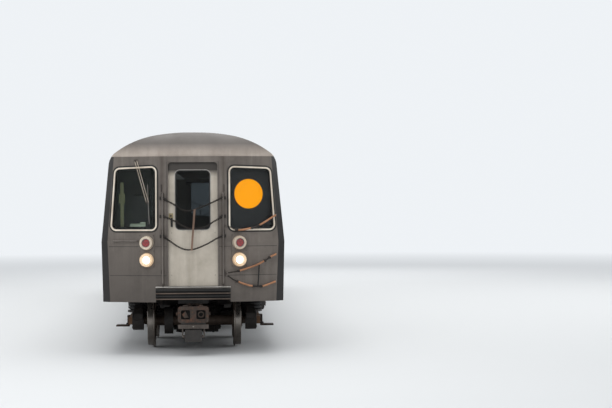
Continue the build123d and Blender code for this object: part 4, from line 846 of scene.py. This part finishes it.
for rows, (start, stop, again) in zip(SPRINGS, BREAKS):
    path = curve_through([on_panel(x, RAIL + z, SPRING_OUT) for x, z in rows], 0.012)
    near = [p for p in path if p.x < start]
    one = [p for p in path if start <= p.x <= stop]
    clamp = [p for p in path if stop <= p.x <= again]
    two = [p for p in path if p.x >= again]
    springs.use(chain_steel)
    links(springs, near[::3] + [one[0]], 0.0085, 0.030, 0.042)
    springs.tube([one[-1]] + clamp + [two[0]], 0.0155, 10)
    for p in (one[0], one[-1], two[0]):
        springs.tube([p + Vector((dx, dx * 0.29, 0)) for dx in (-0.020, 0.020)], 0.0215, 10)
    springs.use(copper)
    for run in (one, two):
        springs.tube(run, 0.0130, 10)
        coil(springs, run, 0.0175, 0.0075, 0.0098)
springs.use(black_paint)
springs.tube([on_panel(x, RAIL + z, SPRING_OUT) for x, z in STAY], 0.011, 8)
springs.turned()
spring_obj = springs.make("spring_steel")
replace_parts(spring_obj, "barrier_springs")

# Lamps: bezel rings and their screws
lamps = Piece("lamp_bezels").use(bright)
for side in SIDES:
    for up in (TAIL_UP, HEAD_UP):
        place = panel(LAMP_X, RAIL + up, LAMP_OUT, side)
        lamps.lathe([(0.0665, -0.02), (0.0745, 0.0005), (0.071, 0.0005), (0.063, -0.018)], place, 32, False)
        lamps.bolts(place, circle(4, 0.093, pi / 4), 0.006, 0.003)
lamps.turned().make("fitting_steel")

# Wiper: motor box, two thin arms, joint and blade
PIVOT = (0.938, RAIL + 3.195)
JOINT = (0.746, RAIL + 2.506)
BLADE = ((0.738, RAIL + 2.80), (0.731, RAIL + 2.50), (0.714, RAIL + 2.15))
wiper = Piece("wiper_set").use(fitting)
wiper.box((0.052, 0.040, 0.030), panel(*PIVOT, 0.0, -1), (0, 0, 0.015), 0.006)
wiper.lathe([(0.014, 0), (0.014, 0.010), (0.009, 0.014)], panel(*PIVOT, 0.030, -1), 14)
wiper.box((0.040, 0.026, 0.014), panel(*JOINT, 0.028, -1), (0, 0, 0.007), 0.003)
wiper.use(rim_cream)
for shift in (-0.018, 0.018):
    wiper.tube([on_panel(x + shift, z, 0.036, -1) for x, z in (PIVOT, JOINT)], 0.0042, 8)
wiper.use(black_paint).tube([on_panel(x, z, 0.020, -1) for x, z in BLADE], 0.0055, 6)
wiper.use(bright).tube([on_panel(x + 0.004, z, 0.030, -1) for x, z in BLADE], 0.0042, 6)
wiper.turned()
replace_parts(wiper.make("fitting_steel"), "wipers")

# Inside the cab, seen through the left window: a side post with its box, a shelf, and a cabinet behind
cab = Piece("cab_interior")
for shader, size, centre, chamfer in (
    (cab_olive, (0.055, 0.05, 0.74), (-1.185, -10.72, 2.50), 0.004),
    (cab_olive, (0.10, 0.04, 0.16), (-1.19, -10.70, 2.60), 0.004),
    (cab_pale, (0.24, 0.10, 0.05), (-0.93, -10.80, 2.155), 0.006),
    (cab_pale, (0.09, 0.07, 0.07), (-0.84, -10.80, 2.17), 0.006),
    (cab_paint, (0.34, 0.05, 0.60), (-0.86, -10.30, 2.35), 0.01),
):
    cab.use(shader).block(size, centre, chamfer)
cab.turned().make("cab_paint")

# Side windows: rubbers, frames and sash bars. Columns: place along the car, width, sash.
WINDOW_Z = FLOOR_Z + 1.3
WINDOW_HEIGHT = 0.8 / cos(LEAN) - 0.002
SIDE_WINDOWS = [(bay + shift, 1.1, True) for bay in (-5.18, 0.0, 5.18) for shift in (-0.59, 0.59)]
for end in (-1, 1):
    SIDE_WINDOWS += [(end * 9.515, 0.70, True), (end * 10.43, 0.56, False)]
windows = Piece("side_window_frames")
for side in SIDES:
    for y, width, sash in SIDE_WINDOWS:
        place = side_place(y, WINDOW_Z, 0.0, side)
        ring = [rounded(rect(width, WINDOW_HEIGHT), 0.09, grow) for grow in (-0.010, 0.002, 0.022)]
        windows.use(rubber).loop(ring[0], ring[1], place, -0.016, 0.003, 0.001)
        windows.use(bright).loop(ring[1], ring[2], place, 0.0, 0.006, 0.002)
        if sash:
            windows.box((width - 0.02, 0.03, 0.012), place, (0, 0.8 * 0.22, -0.010), 0.003)
windows.make("body_steel")

# Drip rails over the doorways, seals beside them, and sill bolts
rails = Piece("drip_rails")
for side in SIDES:
    for y in DOOR_YS:
        rails.use(side_steel)
        rails.box((1.36, 0.018, 0.022), side_place(y, FLOOR_Z + 1.925, 0.0, side), (0, 0, 0.008), 0.004)
        rails.use(rubber)
        for shift in (-0.637, 0.637):
            for low, high in ((FLOOR_Z, BELT_Z), (BELT_Z, FLOOR_Z + 1.9)):
                strip = side_place(y + shift, (low + high) / 2, 0.0, side)
                rails.box((0.010, high - low, 0.006), strip, (0, 0, -0.003), 0.002)
    rails.use(side_steel)
    for i in range(72):
        rails.bolt(side_place(-10.65 + i * 0.3, SILL_Z + 0.05, 0.0, side), (0, 0), 0.008, 0.004, 6)
rails.make("body_steel")

# Door leaves: window rims, meeting edges and kick plates
hem = [rounded(rect(*LEAF_WINDOW), 0.045, grow) for grow in (-0.010, -0.0005, 0.0, 0.014)]
for side_name, side in (("right", 1), ("left", -1)):
    for number, doorway_y in enumerate(DOOR_YS, 1):
        for leaf, way in (("fore", -1), ("aft", 1)):
            name = f"door_{side_name}_{number}_{leaf}"
            y = doorway_y + way * LEAF_Y
            place = side_place(y, FLOOR_Z + 1.355, -0.0370, side)
            trim = Piece(f"trim_{name}", name).use(bright)
            trim.loop(hem[2], hem[3], place, -0.001, 0.0025, 0.001)
            trim.use(rubber).loop(hem[0], hem[1], place, -0.011, 0.001)
            for low, high in ((FLOOR_Z + 0.03, BELT_Z), (BELT_Z, FLOOR_Z + 1.90)):
                edge = side_place(doorway_y + way * 0.011, (low + high) / 2, LEAF_IN, side)
                trim.box((0.012, high - low, 0.003), edge, (0, 0, 0.0005), 0.001)
            kick = side_place(y, FLOOR_Z + 0.16, LEAF_IN, side)
            trim.use(leaf_steel).prism(rounded(rect(0.58, 0.22), 0.01), kick, -0.001, 0.0022, 0.001)
            trim.make("door_steel")

# Underfloor boxes: raised door edges, hinges, latches and handles
boxes = Piece("equipment_doors")
for x, side, first, pitch, count, width, low, high in (
    (1.362, 1, -4.9, 0.66, 5, 0.6, 0.448, 0.928),
    (-1.330, -1, -5.06, 0.60, 3, 0.54, 0.470, 0.930),
):
    tall = high - low
    for k in range(count):
        middle = wall_place(x, first + pitch * k + width / 2, (low + high) / 2, side)
        inner, outer = rounded(rect(width - 0.09, tall - 0.09), 0.02), rounded(rect(width - 0.05, tall - 0.05), 0.03)
        boxes.use(box_grey).loop(inner, outer, middle, 0.0, 0.007, 0.002)
        boxes.use(fitting)
        for shift in (-0.18, 0.18):
            top = middle @ Matrix.Translation((shift * side, tall / 2 - 0.012, 0.006))
            boxes.box((0.09, 0.045, 0.012), top, (0, 0, 0), 0.003)
            boxes.tube([top @ Vector((dx, 0.02, 0.006)) for dx in (-0.05, 0.05)], 0.009, 8)
            foot = middle @ Matrix.Translation((shift * side, -tall / 2 + 0.035, 0.006))
            boxes.box((0.05, 0.075, 0.014), foot, (0, 0, 0), 0.004)
            boxes.box((0.022, 0.10, 0.010), foot, (0, -0.004, 0.012), 0.003)
            boxes.bolt(foot, (0, 0.02), 0.010, 0.012, 8, 0.012)
        boxes.use(bright).box((0.10, 0.014, 0.008), middle, (0, 0.02, 0.014), 0.003)
boxes.use(fitting)
for side, x, ys in ((1, 1.352, (1.5, 2.4, 3.3, 4.2, 4.7)), (-1, -1.32, (1.2, 2.0, 3.0, 3.8))):
    for y in ys:
        lug = wall_place(x, y, 0.965, side)
        boxes.box((0.05, 0.06, 0.008), lug, (0, 0, 0.002), 0.002)
        boxes.bolt(lug, (0, 0), 0.010, 0.008, 6, 0.005)
boxes.make("underframe_paint")

# Resistor banks: ribbons in the second bay, with insulators and rails along both
RAIL_XS = (0.452, 1.308)
banks = Piece("resistor_banks")
for z in (0.508, 0.668, 0.828):
    banks.use(grid_iron)
    for k in range(17):
        banks.block((0.892, 0.026, 0.10), (0.88, 3.14 + k * 0.100, z + 0.055), 0.004)
    banks.use(insulator)
    for k in range(36):
        for x in RAIL_XS:
            spot = Matrix.Translation((x, 1.31 + k * 0.0985, z + 0.125))
            banks.lathe([(0.016, -0.012), (0.020, 0), (0.016, 0.012)], spot, 8)
    banks.use(fitting)
    for x in RAIL_XS:
        banks.tube([(x, 1.27, z + 0.125), (x, 4.87, z + 0.125)], 0.008, 8)
banks.make("underframe_paint")

# Air tanks' domed ends and hanger rails, compressor fins and pipes under the floor
TANK_XS = (-1.12, -0.64)
DOME = [(0.190, -0.002), (0.186, 0.012), (0.160, 0.036), (0.105, 0.054), (0.001, 0.062)]
FIN = [(0.240, -0.010), (0.252, -0.008), (0.252, 0.008), (0.240, 0.010)]
pipes = Piece("underfloor_pipes")
for x in TANK_XS:
    for y in (1.6, 3.4):
        for way in (-1, 1):
            dome = end_place(x, y + way * 0.65, 0.728, way)
            pipes.use(motor_grey).lathe(DOME, dome, 28)
            pipes.use(fitting).lathe([(0.022, 0.05), (0.022, 0.075), (0.012, 0.080)], dome, 10)
pipes.use(motor_grey)
for x in TANK_XS:
    for shift in (-0.10, 0.10):
        pipes.block((0.045, 2.95, 0.016), (x + shift, 2.55, 0.980), 0.003)
    for y in (1.18, 2.02, 2.98, 3.82):
        pipes.block((0.245, 0.05, 0.014), (x, y, 0.967), 0.003)
for k in range(8):
    pipes.lathe(FIN, end_place(-0.86, -1.54 + k * 0.07, 0.668), 28, False)
pipes.use(frame_black)
for x, radius in ((0.245, 0.021), (-0.245, 0.021), (-0.300, 0.014), (0.295, 0.014)):
    pipes.tube([(x, y, 0.988 - radius) for y in (-6.35, -3, 0, 3, 6.35)], radius, 10)
pipes.use(fitting)
for k in range(-4, 5):
    y = k * BEARER_PITCH
    for x in (0.27, -0.27):
        pipes.block((0.13, 0.045, 0.006), (x, y, 0.942), 0.001)
        for dx in (-0.055, 0.055):
            pipes.tube([(x + dx, y, 0.941), (x + dx, y, 0.990)], 0.006, 6)
pipes.use(frame_black)
for points in (
    [
        (-0.86, -0.70, 0.668), (-0.86, -0.35, 0.668), (-0.80, -0.2, 0.80),
        (-0.70, 0.2, 0.86), (-0.64, 0.62, 0.80), (-0.64, 0.94, 0.728),
    ],
    [(-0.64, 2.26, 0.86), (-0.50, 2.40, 0.93), (-0.36, 2.50, 0.955), (-0.305, 2.60, 0.965)],
    [(0.33, -2.2, 0.93), (0.30, -1.9, 0.955), (0.296, -1.5, 0.972)],
):
    pipes.tube(curve_through(points, 0.04), 0.013, 8)
pipes.make("underframe_paint")

# Trucks, drawn about their centre: axle box covers, shoe beam straps, plates and motor bands
COVER = [(0.080, 0.0), (0.152, 0.0), (0.152, 0.008), (0.146, 0.011), (0.088, 0.011)]
COVER_BOLTS = [pi / 8 * k for k in (3, 4, 5, 11, 12, 13)]
BAND = [(0.244, -0.022), (0.256, -0.018), (0.256, 0.018), (0.244, 0.022)]
for end, shift, turn in (("front", -TRUCK_Y, 0), ("rear", TRUCK_Y, pi)):
    truck = Piece(f"truck_fittings_{end}", f"truck_{end}")
    for y in (-AXLE_Y, AXLE_Y):
        cover = wall_place(1.0755, y, AXLE_Z)
        truck.use(truck_black).lathe(COVER, cover, 28, False)
        spots = [(0.122 * cos(a), 0.122 * sin(a)) for a in COVER_BOLTS]
        truck.use(fitting).bolts(cover, spots, 0.012, 0.010, 6, 0.010)
    for y in (-0.62, 0.62):
        plate = wall_place(1.0545, y, 0.535)
        truck.use(truck_black).prism(rounded(rect(0.30, 0.13), 0.03), plate, 0.0, 0.006, 0.002)
        spots = [(dx, dy) for dx in (-0.12, 0.12) for dy in (-0.035, 0.035)]
        truck.use(fitting).bolts(plate, spots, 0.009, 0.007, 6, 0.006)
    beam = wall_place(1.1495, 0, AXLE_Z)
    for y in (-0.98, -0.42, 0.42, 0.98):
        truck.use(rust_cast).box((0.055, 0.135, 0.006), beam, (y, 0, 0.002), 0.002)
        truck.use(fitting).bolts(beam, ((y, -0.04), (y, 0.04)), 0.011, 0.010, 6, 0.005)
    truck.use(box_grey).box((0.20, 0.10, 0.075), wall_place(1.12, 0.26, 0.576), (0, 0, 0), 0.008)
    truck.use(frame_black)
    cable = [(1.10, 0.30, 0.61), (1.05, 0.34, 0.66), (0.98, 0.40, 0.655), (0.90, 0.44, 0.63)]
    truck.tube(curve_through(cable, 0.02), 0.014, 8)
    for y in (-0.11, 0.11):
        truck.tube(curve_through([(1.14, y, 0.40), (1.19, y, 0.365), (1.24, y * 0.9, 0.335)], 0.02), 0.009, 8)
    truck.mirrored()
    for way in (-1, 1):
        motor_y = way * MOTOR_Y
        truck.use(motor_grey)
        for x in (-0.33, 0.24):
            truck.lathe(BAND, wall_place(way * x, motor_y, AXLE_Z), 32, False)
        face = wall_place(-way * 0.4198, motor_y, AXLE_Z, -way)
        truck.use(fitting).bolts(face, circle(8, 0.17, 0.3), 0.012, 0.009, 6, 0.040)
        cable = [(0.05, motor_y, 0.70), (0.05, motor_y * 0.8, 0.72), (0.12, motor_y * 0.5, 0.70)]
        cable.append((0.16, way * 0.20, 0.62))
        truck.use(frame_black).tube(curve_through([(way * x, y, z) for x, y, z in cable], 0.02), 0.018, 8)
    truck.moved(Matrix.Translation((0, shift, 0)) @ Matrix.Rotation(turn, 4, "Z"))
    truck.make("truck_paint")
    for place in ("fore", "aft"):
        name = f"wheelset_{end}_truck_{place}"
        hub = Piece(f"hub_bolts_{end}_{place}", name).use(fitting)
        for side in SIDES:
            hub.bolts(wall_place(side * 0.8253, middle_y(name), AXLE_Z, side), circle(6, 0.113), 0.011, 0.010)
        hub.make("wheel_steel")

# Coupler: horn and socket in the pockets, side lugs, plate with a pin and electric head cover
POCKET_X = 0.1265
HEAD_Z = RAIL + 0.662
front = end_place(0, COUPLER_Y, 0)
coupler = Piece("coupler_fittings").use(rust_cast)
horn = [(-0.062, 0.0), (-0.02, -0.062), (0.05, -0.05), (0.02, 0.02), (0.0, 0.062)]
socket = [(0.052, -0.069), (0.052, -0.012), (0.036, -0.008), (0.034, -0.066)]
coupler.prism([(x - POCKET_X, z + HEAD_Z) for x, z in horn], front, -0.069, -0.008, 0.006)
coupler.lathe(socket, front @ Matrix.Translation((POCKET_X, HEAD_Z, 0)), 20, False)
for side in SIDES:
    coupler.box((0.034, 0.05, 0.10), front, (side * 0.264, RAIL + 0.675, -0.08), 0.006)
    coupler.bolt(front, (side * 0.264, RAIL + 0.675), 0.012, 0.012, 8, -0.030)
    coupler.box((0.07, 0.022, 0.16), front, (side * 0.13, HEAD_Z + 0.140, -0.13), 0.004)
coupler.use(fitting).box((0.50, 0.072, 0.020), front, (0, RAIL + 0.463, -0.042), 0.004)
coupler.use(bright).bolt(front, (0.0, RAIL + 0.466), 0.011, 0.010, 12, -0.032)
coupler.use(fitting).bolts(front, [(x, RAIL + 0.463) for x in (-0.2, -0.1, 0.1, 0.2)], 0.009, 0.007, 6, -0.032)
electric = end_place(0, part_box("electric_heads")[0][1] + 0.0005, 0)
inner, outer = (rounded(rect(w, h, 0, RAIL + 0.312), r) for w, h, r in ((0.23, 0.15, 0.012), (0.27, 0.19, 0.02)))
coupler.use(box_grey).loop(inner, outer, electric, -0.004, 0.0004)
coupler.use(fitting)
for side in SIDES:
    coupler.tube([(side * 0.175, -11.36, RAIL + 0.31), (side * 0.175, -11.36, RAIL + 0.43)], 0.012, 8)
    coupler.box((0.04, 0.05, 0.05), front, (side * 0.160, RAIL + 0.30, -0.07), 0.006)
coupler.turned().make("cast_iron")

# Roof: seams of the sheets down both sides
seams = Piece("roof_fittings").use(roof_steel)
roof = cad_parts["roof"]
for side in SIDES:
    for k in range(36):
        points = []
        for j in range(17):
            above = Vector((side * (0.55 + 0.05 * j), -10.35 + k * 0.594, 5.0))
            hit, point, _, _ = roof.ray_cast(above, Vector((0, 0, -1)))
            if hit:
                points.append(point)
        seams.tube(points, 0.005, 6)
seams.make("body_steel")

# Studio: pale floor that fades into a pale backdrop, soft lamps and the camera
BACKDROP = (0.86, 0.89, 0.92, 1)
scene = bpy.context.scene
scene.view_settings.view_transform = "Standard"

world = bpy.data.worlds.new("studio")
scene.world = world
air = Nodes(world)
sky = air.tree.nodes["Background"]
sky.inputs["Color"].default_value = (0.86, 0.89, 0.93, 1)
sky.inputs["Strength"].default_value = 0.62
rays = air.node("LightPath").outputs
clear = air.math("MAXIMUM", rays["Is Glossy Ray"], rays["Is Transmission Ray"])
plain = air.math("MAXIMUM", rays["Is Camera Ray"], clear)
air.blend(plain, sky, air.node("Background", {"Color": BACKDROP, "Strength": 1.0}), "World Output")

floor_mesh = bpy.data.meshes.new("studio_floor")
floor_mesh.from_pydata([(-60, -60, 0), (60, -60, 0), (60, 60, 0), (-60, 60, 0)], [], [(0, 1, 2, 3)])
floor_obj = bpy.data.objects.new("studio_floor", floor_mesh)
scene.collection.objects.link(floor_obj)
ground = Shader("studio_floor", (0.66, 0.67, 0.67, 1), 0.0, 0.9)
floor_mesh.materials.append(ground.mat)
reach = ground.node("VectorMath", operation="LENGTH")
ground.link(ground.coords, reach.inputs[0])
rays = ground.node("LightPath").outputs
seen = ground.math("MAXIMUM", rays["Is Camera Ray"], rays["Is Glossy Ray"])
share = ground.math("MULTIPLY", seen, ground.ramp(reach.outputs["Value"], 15.0, 46.0))
ground.blend(share, ground.bsdf, ground.node("Emission", {"Color": BACKDROP}), "Material Output")

for name, at, toward, size, power in (
    ("sky_panel", (0, -2, 17), (0, -2, 0), (14, 34), 2600),
    ("front_panel", (-4, -24, 11), (0, -11, 2), (12, 8), 900),
    ("right_panel", (17, 2, 9), (0, 0, 2), (24, 7), 900),
    ("left_panel", (-17, 2, 9), (0, 0, 2), (24, 7), 900),
    ("rear_panel", (4, 24, 10), (0, 11, 2), (12, 8), 700),
):
    data = bpy.data.lights.new(name, "AREA")
    data.shape = "RECTANGLE"
    data.size, data.size_y = size
    data.energy = power
    lamp = bpy.data.objects.new(name, data)
    lamp.location = at
    lamp.rotation_euler = (Vector(toward) - Vector(at)).to_track_quat("-Z", "Y").to_euler()
    scene.collection.objects.link(lamp)

FOCAL_PIXELS = 1816.08
PHOTO_WIDTH = 612
SENSOR = 36.0
YAW, PITCH, ROLL = radians(2.982), radians(-0.185), radians(-0.317)
camera_data = bpy.data.cameras.new("camera")
camera = bpy.data.objects.new("camera", camera_data)
scene.collection.objects.link(camera)
scene.camera = camera
camera_data.sensor_width = SENSOR
camera_data.lens = FOCAL_PIXELS / PHOTO_WIDTH * SENSOR
camera_data.clip_end = 400
forward = Vector((sin(YAW) * cos(PITCH), cos(YAW) * cos(PITCH), sin(PITCH)))
right = Vector((cos(YAW), -sin(YAW), 0))
up = right.cross(forward)
right, up = right * cos(ROLL) + up * sin(ROLL), up * cos(ROLL) - right * sin(ROLL)
camera.matrix_world = axes(right, up, -forward, (0.307, -41.25, 2.591))
